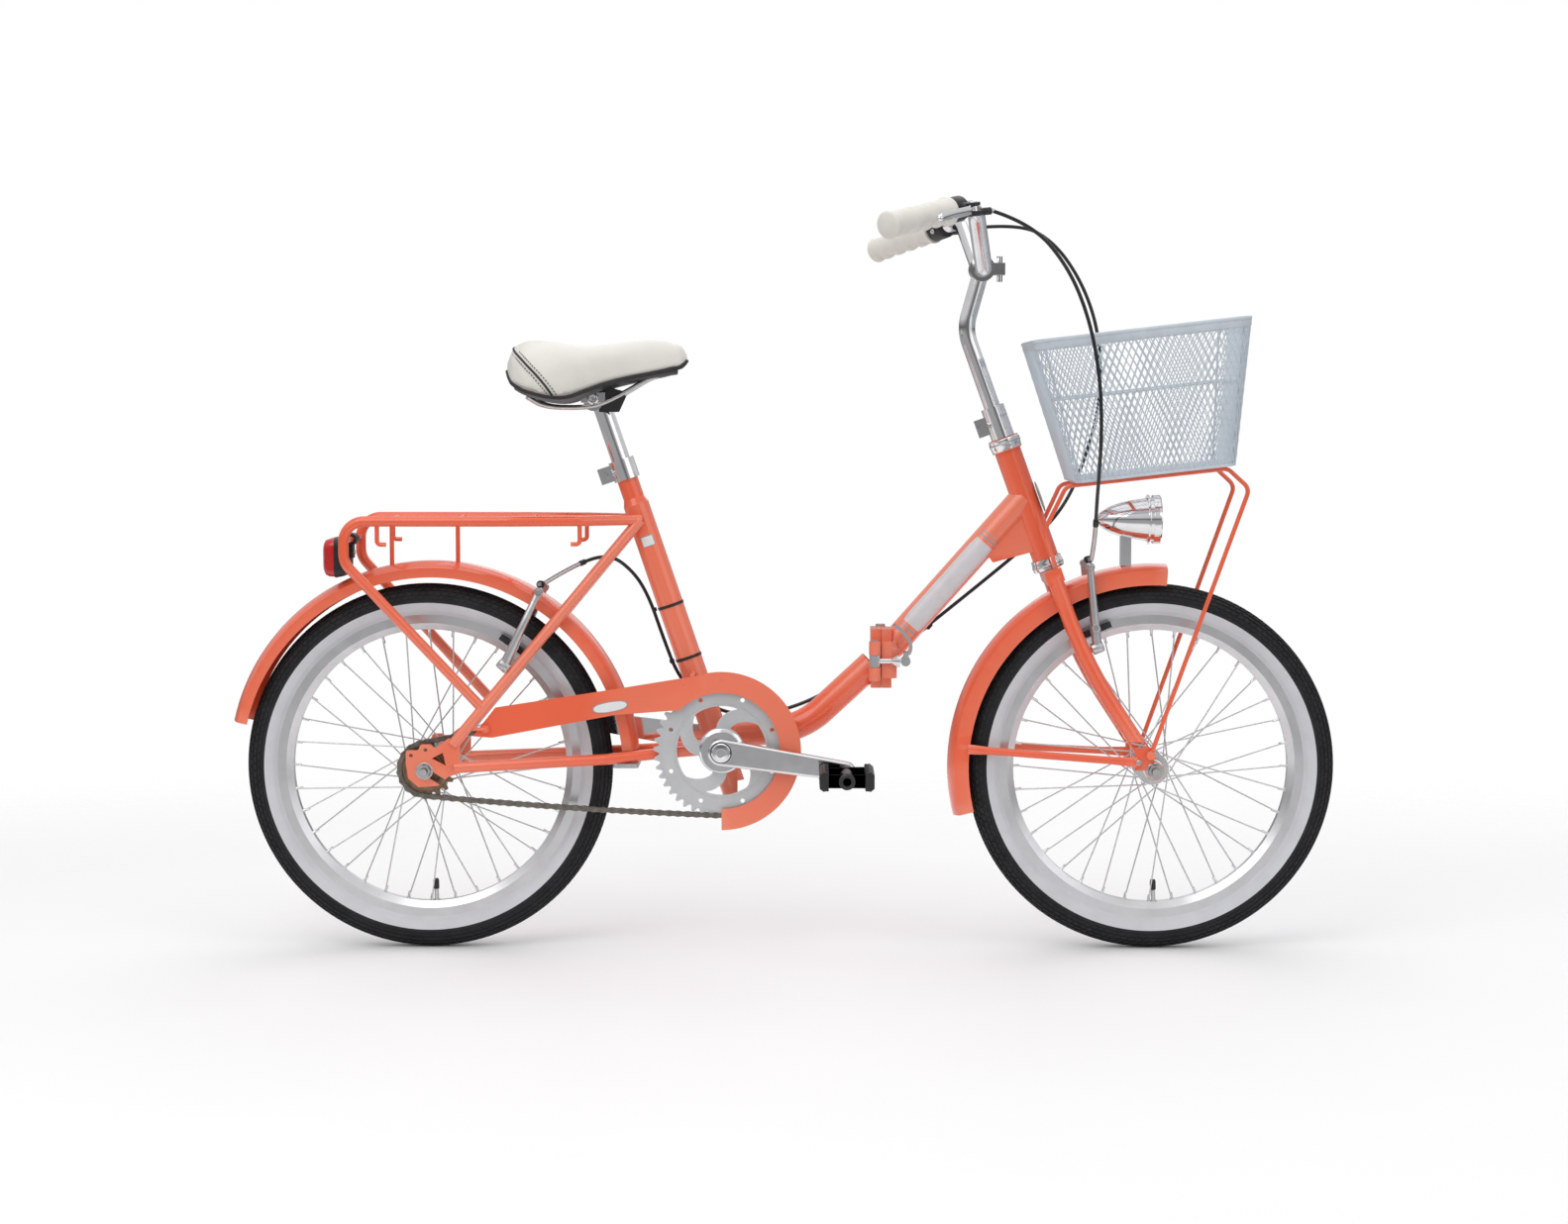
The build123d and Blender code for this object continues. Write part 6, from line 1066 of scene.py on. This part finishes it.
TAIL = REAR + vec(-122, 0, 286)
tail_lamp = Build(BLACK, RED, STEEL, CHROME)


LAMP_HALF_WIDTH, LAMP_HALF_HEIGHT, LAMP_CORNER = 42, 27, 11.0


def lamp_outline(scale_y, scale_z):
    """Rectangle with round corners, scaled from the lamp's edge."""
    points = []
    for side, up, first in ((-1, -1, math.pi), (1, -1, -math.pi / 2), (1, 1, 0.0), (-1, 1, math.pi / 2)):
        y = side * (LAMP_HALF_WIDTH * scale_y - LAMP_CORNER)
        z = up * (LAMP_HALF_HEIGHT * scale_z - LAMP_CORNER)
        points += [(y + LAMP_CORNER * math.cos(first + math.pi / 2 * i / 8),
                    z + LAMP_CORNER * math.sin(first + math.pi / 2 * i / 8)) for i in range(9)]
    return points


def loft(build, layers, pick):
    """Closed skin through outlines that lie square to X."""
    n = len(layers[0][1])
    verts = [TAIL + vec(x, y, z) for x, outline in layers for y, z in outline]
    faces = [(i * n + k, i * n + (k + 1) % n, (i + 1) * n + (k + 1) % n, (i + 1) * n + k)
             for i in range(len(layers) - 1) for k in range(n)]
    faces += [tuple(reversed(range(n))), tuple((len(layers) - 1) * n + k for k in range(n))]
    build.add(verts, faces, pick)


loft(tail_lamp, [(13, lamp_outline(0.86, 0.8)), (11.5, lamp_outline(0.94, 0.92)),
                 (2, lamp_outline(0.99, 0.99)),
                 (0, lamp_outline(1, 1)), (-0.6, lamp_outline(0.985, 0.98))], 0)
loft(tail_lamp, [(-0.4, lamp_outline(0.97, 0.96)), (-8, lamp_outline(0.96, 0.95)),
                 (-13.5, lamp_outline(0.9, 0.87)),
                 (-16.2, lamp_outline(0.78, 0.7)), (-17, lamp_outline(0.6, 0.5))], 1)
for y in (-26, 26):
    tail_lamp.add(*lathe([(0.01, 1.4), (4.5, 1.0), (6.4, -0.4)], TAIL + vec(-15.6, y, 0), (-1, 0, 0), 24), 1)
tail_lamp.add(*block((10, -9, -2), (20, 9, 27), origin=TAIL), 0)
tail_lamp.add(*lathe([(4.4, -12), (8.2, -12), (8.2, 12), (4.4, 12)], TAIL + vec(18, 0, 24), (0, 1, 0), 28,
                     True), 0)
bolt(tail_lamp, TAIL + vec(18, -12, 24), (0, -1, 0), 3.0, 2.0, 2)
bolt(tail_lamp, TAIL + vec(20, 0, 6), (1, 0, 0), 3.6, 2.4, 2)
tail_lamp.done("rear_lamp_body", "rear_frame", "black_plastic", ["rear_lamp"], bevel=0.4, sharp=30)

# ---- frame fittings -------------------------------------------------------------------------------
cups = Build(CHROME, STEEL)
for low, up in ((300.5, 1), (489.5, -1)):
    cup = [(16.0, 0), (20.0, 0), (21.4, 1.5), (21.6, 9), (21.0, 11), (20.7, 16), (18.0, 16)]
    cups.add(*lathe([(r, t * up) for r, t in cup], on_steer(0, 0, low), STEER_UP, 56), 0)
    cups.add(*lathe([(21.7, 5 * up), (22.0, 5.6 * up), (22.0, 7.0 * up), (21.7, 7.6 * up)],
                    on_steer(0, 0, low), STEER_UP, 56), 1)
cups.done("headset_cups", "front_frame", "chrome", sharp=30)

TUBE_START, TUBE_END, TUBE_RADIUS = HINGE + vec(12, 0, 12), HINGE + vec(193.9, 0, 217.7), 19.0
TUBE_WAY = unit(TUBE_END - TUBE_START)
TUBE_UP = np.cross(vec(0, -1, 0), TUBE_WAY) * -1


def wrap_panel(build, start, end, half_turn, lift, pick, taper=0.0):
    """Thin curved label on each side of the front tube."""
    for side in (-1, 1):
        verts, faces = [], []
        for i in range(33):
            s = start + (end - start) * i / 32
            wide = half_turn * (1 - taper * max(0, 1 - (s - start) / 14, 1 - (end - s) / 14))
            for k in range(13):
                a = wide * (k / 6 - 1)
                out = side * math.cos(a) * vec(0, 1, 0) + math.sin(a) * TUBE_UP
                verts.append(TUBE_START + s * TUBE_WAY + (TUBE_RADIUS + lift) * out)
        faces = [(i * 13 + k, i * 13 + k + 1, i * 13 + k + 14, i * 13 + k + 13) for i in range(32)
                 for k in range(12)]
        build.add(verts, faces, pick)


labels = Build(PANEL, PANEL_LINE, WHITE_BADGE)
wrap_panel(labels, 43, 193, math.radians(50), 0.12, 0, 0.12)
for start, end in ((36, 38.5), (198, 200.5), (205, 206.5)):
    wrap_panel(labels, start, end, math.radians(46), 0.14, 1)
oval = [(15 * math.cos(TAU * k / 48), 21 * math.sin(TAU * k / 48)) for k in range(48)]
small = [(x * 0.84, y * 0.88) for x, y in oval]
badge_spot = on_steer(20.6, 0, 398)
labels.add(*plate([oval], badge_spot, (0, 1, 0), STEER_UP, 1.4, 0.4), 1)
labels.add(*plate([small], badge_spot + 0.8 * STEER_AHEAD, (0, 1, 0), STEER_UP, 0.8, 0.2), 2)
labels.done("frame_labels", "front_frame", "grey_ring")

labels = Build(WHITE_BADGE, PANEL_LINE)
SEAT_OUT = unit(vec(0, -1, 0))
for lift, grow, pick in ((0.10, 1.0, 1), (0.22, 0.86, 0)):
    verts, faces = [], []
    for i in range(13):
        for k in range(13):
            a, s = math.radians(30) * grow * (k / 6 - 1), 7.5 * grow * (i / 6 - 1)
            out = math.cos(a) * SEAT_OUT + math.sin(a) * SEAT_AHEAD
            verts.append(on_seat(0, 0, 298 + s) + (17.5 + lift) * out)
    faces = [(i * 13 + k, i * 13 + k + 1, i * 13 + k + 14, i * 13 + k + 13) for i in range(12)
             for k in range(12)]
    labels.add(verts, faces, pick)
GUARD_BADGE = REAR + vec(250.2, -52.7, 86)
way = unit(vec(0.985, 0, 0.17))
high = vec(-way[2], 0, way[0])
oval = rounded([(-24, -7), (24, -7), (24, 7), (-24, 7)], 3)
labels.add(*plate([oval], GUARD_BADGE, way, high, 0.8, 0.2), 1)
labels.add(*plate([[(x * 0.93, y * 0.86) for x, y in oval]], GUARD_BADGE + vec(0, -0.6, 0), way, high, 0.6,
                  0.15), 0)
labels.done("rear_labels", "rear_frame", "grey_ring")

stays = Build(PAINT, STEEL)
for side in (-1, 1):
    foot = FRONT + vec(-24, side * 57.5, 12)
    tip = FRONT + vec(-250, side * 28.5, 26)
    line = smooth_path([foot, 0.5 * (foot + tip) + vec(0, side * 1.0, 0), tip], 14)
    stays.add(*sweep(line, np.interp(range(14), [0, 2, 11, 13], [2.6, 4.2, 4.2, 2.2]),
                     np.interp(range(14), [0, 2, 11, 13], [7.0, 5.2, 5.2, 7.0]), 14, hint=(0, 0, 1)), 0)
    bolt(stays, foot + vec(2, side * 2.6, 0), (0, side, 0), 3.6, 1.4, 1)
stays.done("front_stays", "steering", "coral_paint")

latch_spring = Build(BLACK, CHROME)
HANDLE = joint_at("latch_lever_flip")
spring = [HANDLE + vec(4 * math.cos(TAU * k / 10), 4 * math.sin(TAU * k / 10), -3 + 0.24 * k)
          for k in range(30)]
latch_spring.add(*sweep(spring, 0.7, sides=6), 1)
latch_spring.done("latch_spring", "latch", "black_plastic")

# ---- materials of the CAD pieces that stay --------------------------------------------------------
LOOKS = {
    PAINT: ["seat_tube", "bottom_bracket_shell", "main_tube_rear", "main_tube_front", "head_tube",
            "chainstays",
            "seatstays", "rear_dropouts", "hinge_rear_lug", "hinge_front_lug", "rear_rack", "rear_mudguard",
            "front_mudguard", "front_rack", "fork", "chain_guard"],
    CHROME: ["seatpost", "stem", "handlebar", "stem_clamp", "seat_clamp", "crank_arm_right", "crank_arm_left",
             "headlamp", "latch_lever", "latch_bolt"],
    RIM_METAL: ["front_rim", "rear_rim"],
    ALLOY: ["front_hub", "rear_hub"],
    STEEL: ["front_spokes", "rear_spokes", "front_axle", "rear_axle", "kickstand_plate", "hinge_pins"],
    DARK_STEEL: ["crank_spindle"],
    BLACK: ["brake_housings"],
}
for mat, names in LOOKS.items():
    for name in names:
        node = frame["nodes"].get(name)
        for piece_slot in node.material_slots if node else []:
            piece_slot.material = mat

# ---- floor, light and world -----------------------------------------------------------------------
floor_mesh = bpy.data.meshes.new("floor")
floor_mesh.from_pydata([(-9, -9, 0), (9, -9, 0), (9, 14, 0), (-9, 14, 0)], [], [(0, 1, 2, 3)])
FLOOR = material("floor", (0.97, 0.97, 0.975), 0.7, vary=0.006, scale=3)
tree = FLOOR.node_tree
place = tree.nodes.new("ShaderNodeTexCoord")
squeeze = tree.nodes.new("ShaderNodeMapping")
squeeze.inputs["Scale"].default_value = (0.36, 0.5, 1)
spread = tree.nodes.new("ShaderNodeTexGradient")
spread.gradient_type = "SPHERICAL"
fade = tree.nodes.new("ShaderNodeMapRange")
fade.interpolation_type = "SMOOTHSTEP"
fade.inputs["From Min"].default_value = 0.02
fade.inputs["From Max"].default_value = 0.55
clear = tree.nodes.new("ShaderNodeBsdfTransparent")
blend = tree.nodes.new("ShaderNodeMixShader")
tree.links.new(place.outputs["Object"], squeeze.inputs["Vector"])
tree.links.new(squeeze.outputs["Vector"], spread.inputs["Vector"])
tree.links.new(spread.outputs["Fac"], fade.inputs["Value"])
tree.links.new(fade.outputs["Result"], blend.inputs["Fac"])
tree.links.new(clear.outputs["BSDF"], blend.inputs[1])
tree.links.new(tree.nodes["Principled BSDF"].outputs["BSDF"], blend.inputs[2])
tree.links.new(blend.outputs["Shader"], tree.nodes["Material Output"].inputs["Surface"])
floor_mesh.materials.append(FLOOR)
floor = bpy.data.objects.new("floor", floor_mesh)
bpy.context.scene.collection.objects.link(floor)

for name, place, aim, size, power, colour in (
    ("key", (-1.6, -2.6, 3.0), (0, 0, 0.45), 2.4, 34, (1.0, 0.985, 0.96)),
    ("fill", (2.8, -2.4, 1.6), (0, 0, 0.5), 2.6, 14, (0.97, 0.985, 1.0)),
    ("back", (0.6, 2.8, 2.6), (0, 0, 0.5), 2.8, 20, (1.0, 1.0, 1.0)),
    ("top", (0.0, -0.2, 3.4), (0, 0, 0.4), 3.0, 18, (1.0, 1.0, 1.0)),
):
    lamp_data = bpy.data.lights.new(name, "AREA")
    lamp_data.shape = "SQUARE"
    lamp_data.size = size
    lamp_data.energy = power
    lamp_data.color = colour
    light = bpy.data.objects.new(name, lamp_data)
    light.location = place
    light.rotation_mode = "QUATERNION"
    light.rotation_quaternion = Vector(np.array(aim) - np.array(place)).to_track_quat("-Z", "Y")
    bpy.context.scene.collection.objects.link(light)

world = bpy.data.worlds.new("studio")
world.use_nodes = True
bpy.context.scene.world = world
tree = world.node_tree
tree.nodes.clear()
place = tree.nodes.new("ShaderNodeTexCoord")
split = tree.nodes.new("ShaderNodeSeparateXYZ")
tree.links.new(place.outputs["Generated"], split.inputs["Vector"])
ramp = tree.nodes.new("ShaderNodeValToRGB")
stops = ramp.color_ramp.elements
stops[0].position, stops[0].color = 0.0, (0.40, 0.40, 0.41, 1)
stops[1].position, stops[1].color = 1.0, (0.98, 0.98, 0.99, 1)
for position, shade in ((0.47, 0.5), (0.52, 0.14), (0.6, 0.82)):
    stop = stops.new(position)
    stop.color = (shade, shade, shade * 1.01, 1)
scale = tree.nodes.new("ShaderNodeMapRange")
scale.inputs["From Min"].default_value = -1
tree.links.new(split.outputs["Z"], scale.inputs["Value"])
tree.links.new(scale.outputs["Result"], ramp.inputs["Fac"])
around_shade = tree.nodes.new("ShaderNodeBackground")
around_shade.inputs["Strength"].default_value = 0.78
tree.links.new(ramp.outputs["Color"], around_shade.inputs["Color"])
seen = tree.nodes.new("ShaderNodeBackground")
seen.inputs["Color"].default_value = (1, 1, 1, 1)
seen.inputs["Strength"].default_value = 1.0
path_kind = tree.nodes.new("ShaderNodeLightPath")
mix = tree.nodes.new("ShaderNodeMixShader")
tree.links.new(path_kind.outputs["Is Camera Ray"], mix.inputs["Fac"])
tree.links.new(around_shade.outputs["Background"], mix.inputs[1])
tree.links.new(seen.outputs["Background"], mix.inputs[2])
output = tree.nodes.new("ShaderNodeOutputWorld")
tree.links.new(mix.outputs["Shader"], output.inputs["Surface"])
bpy.context.scene.view_settings.view_transform = "Standard"
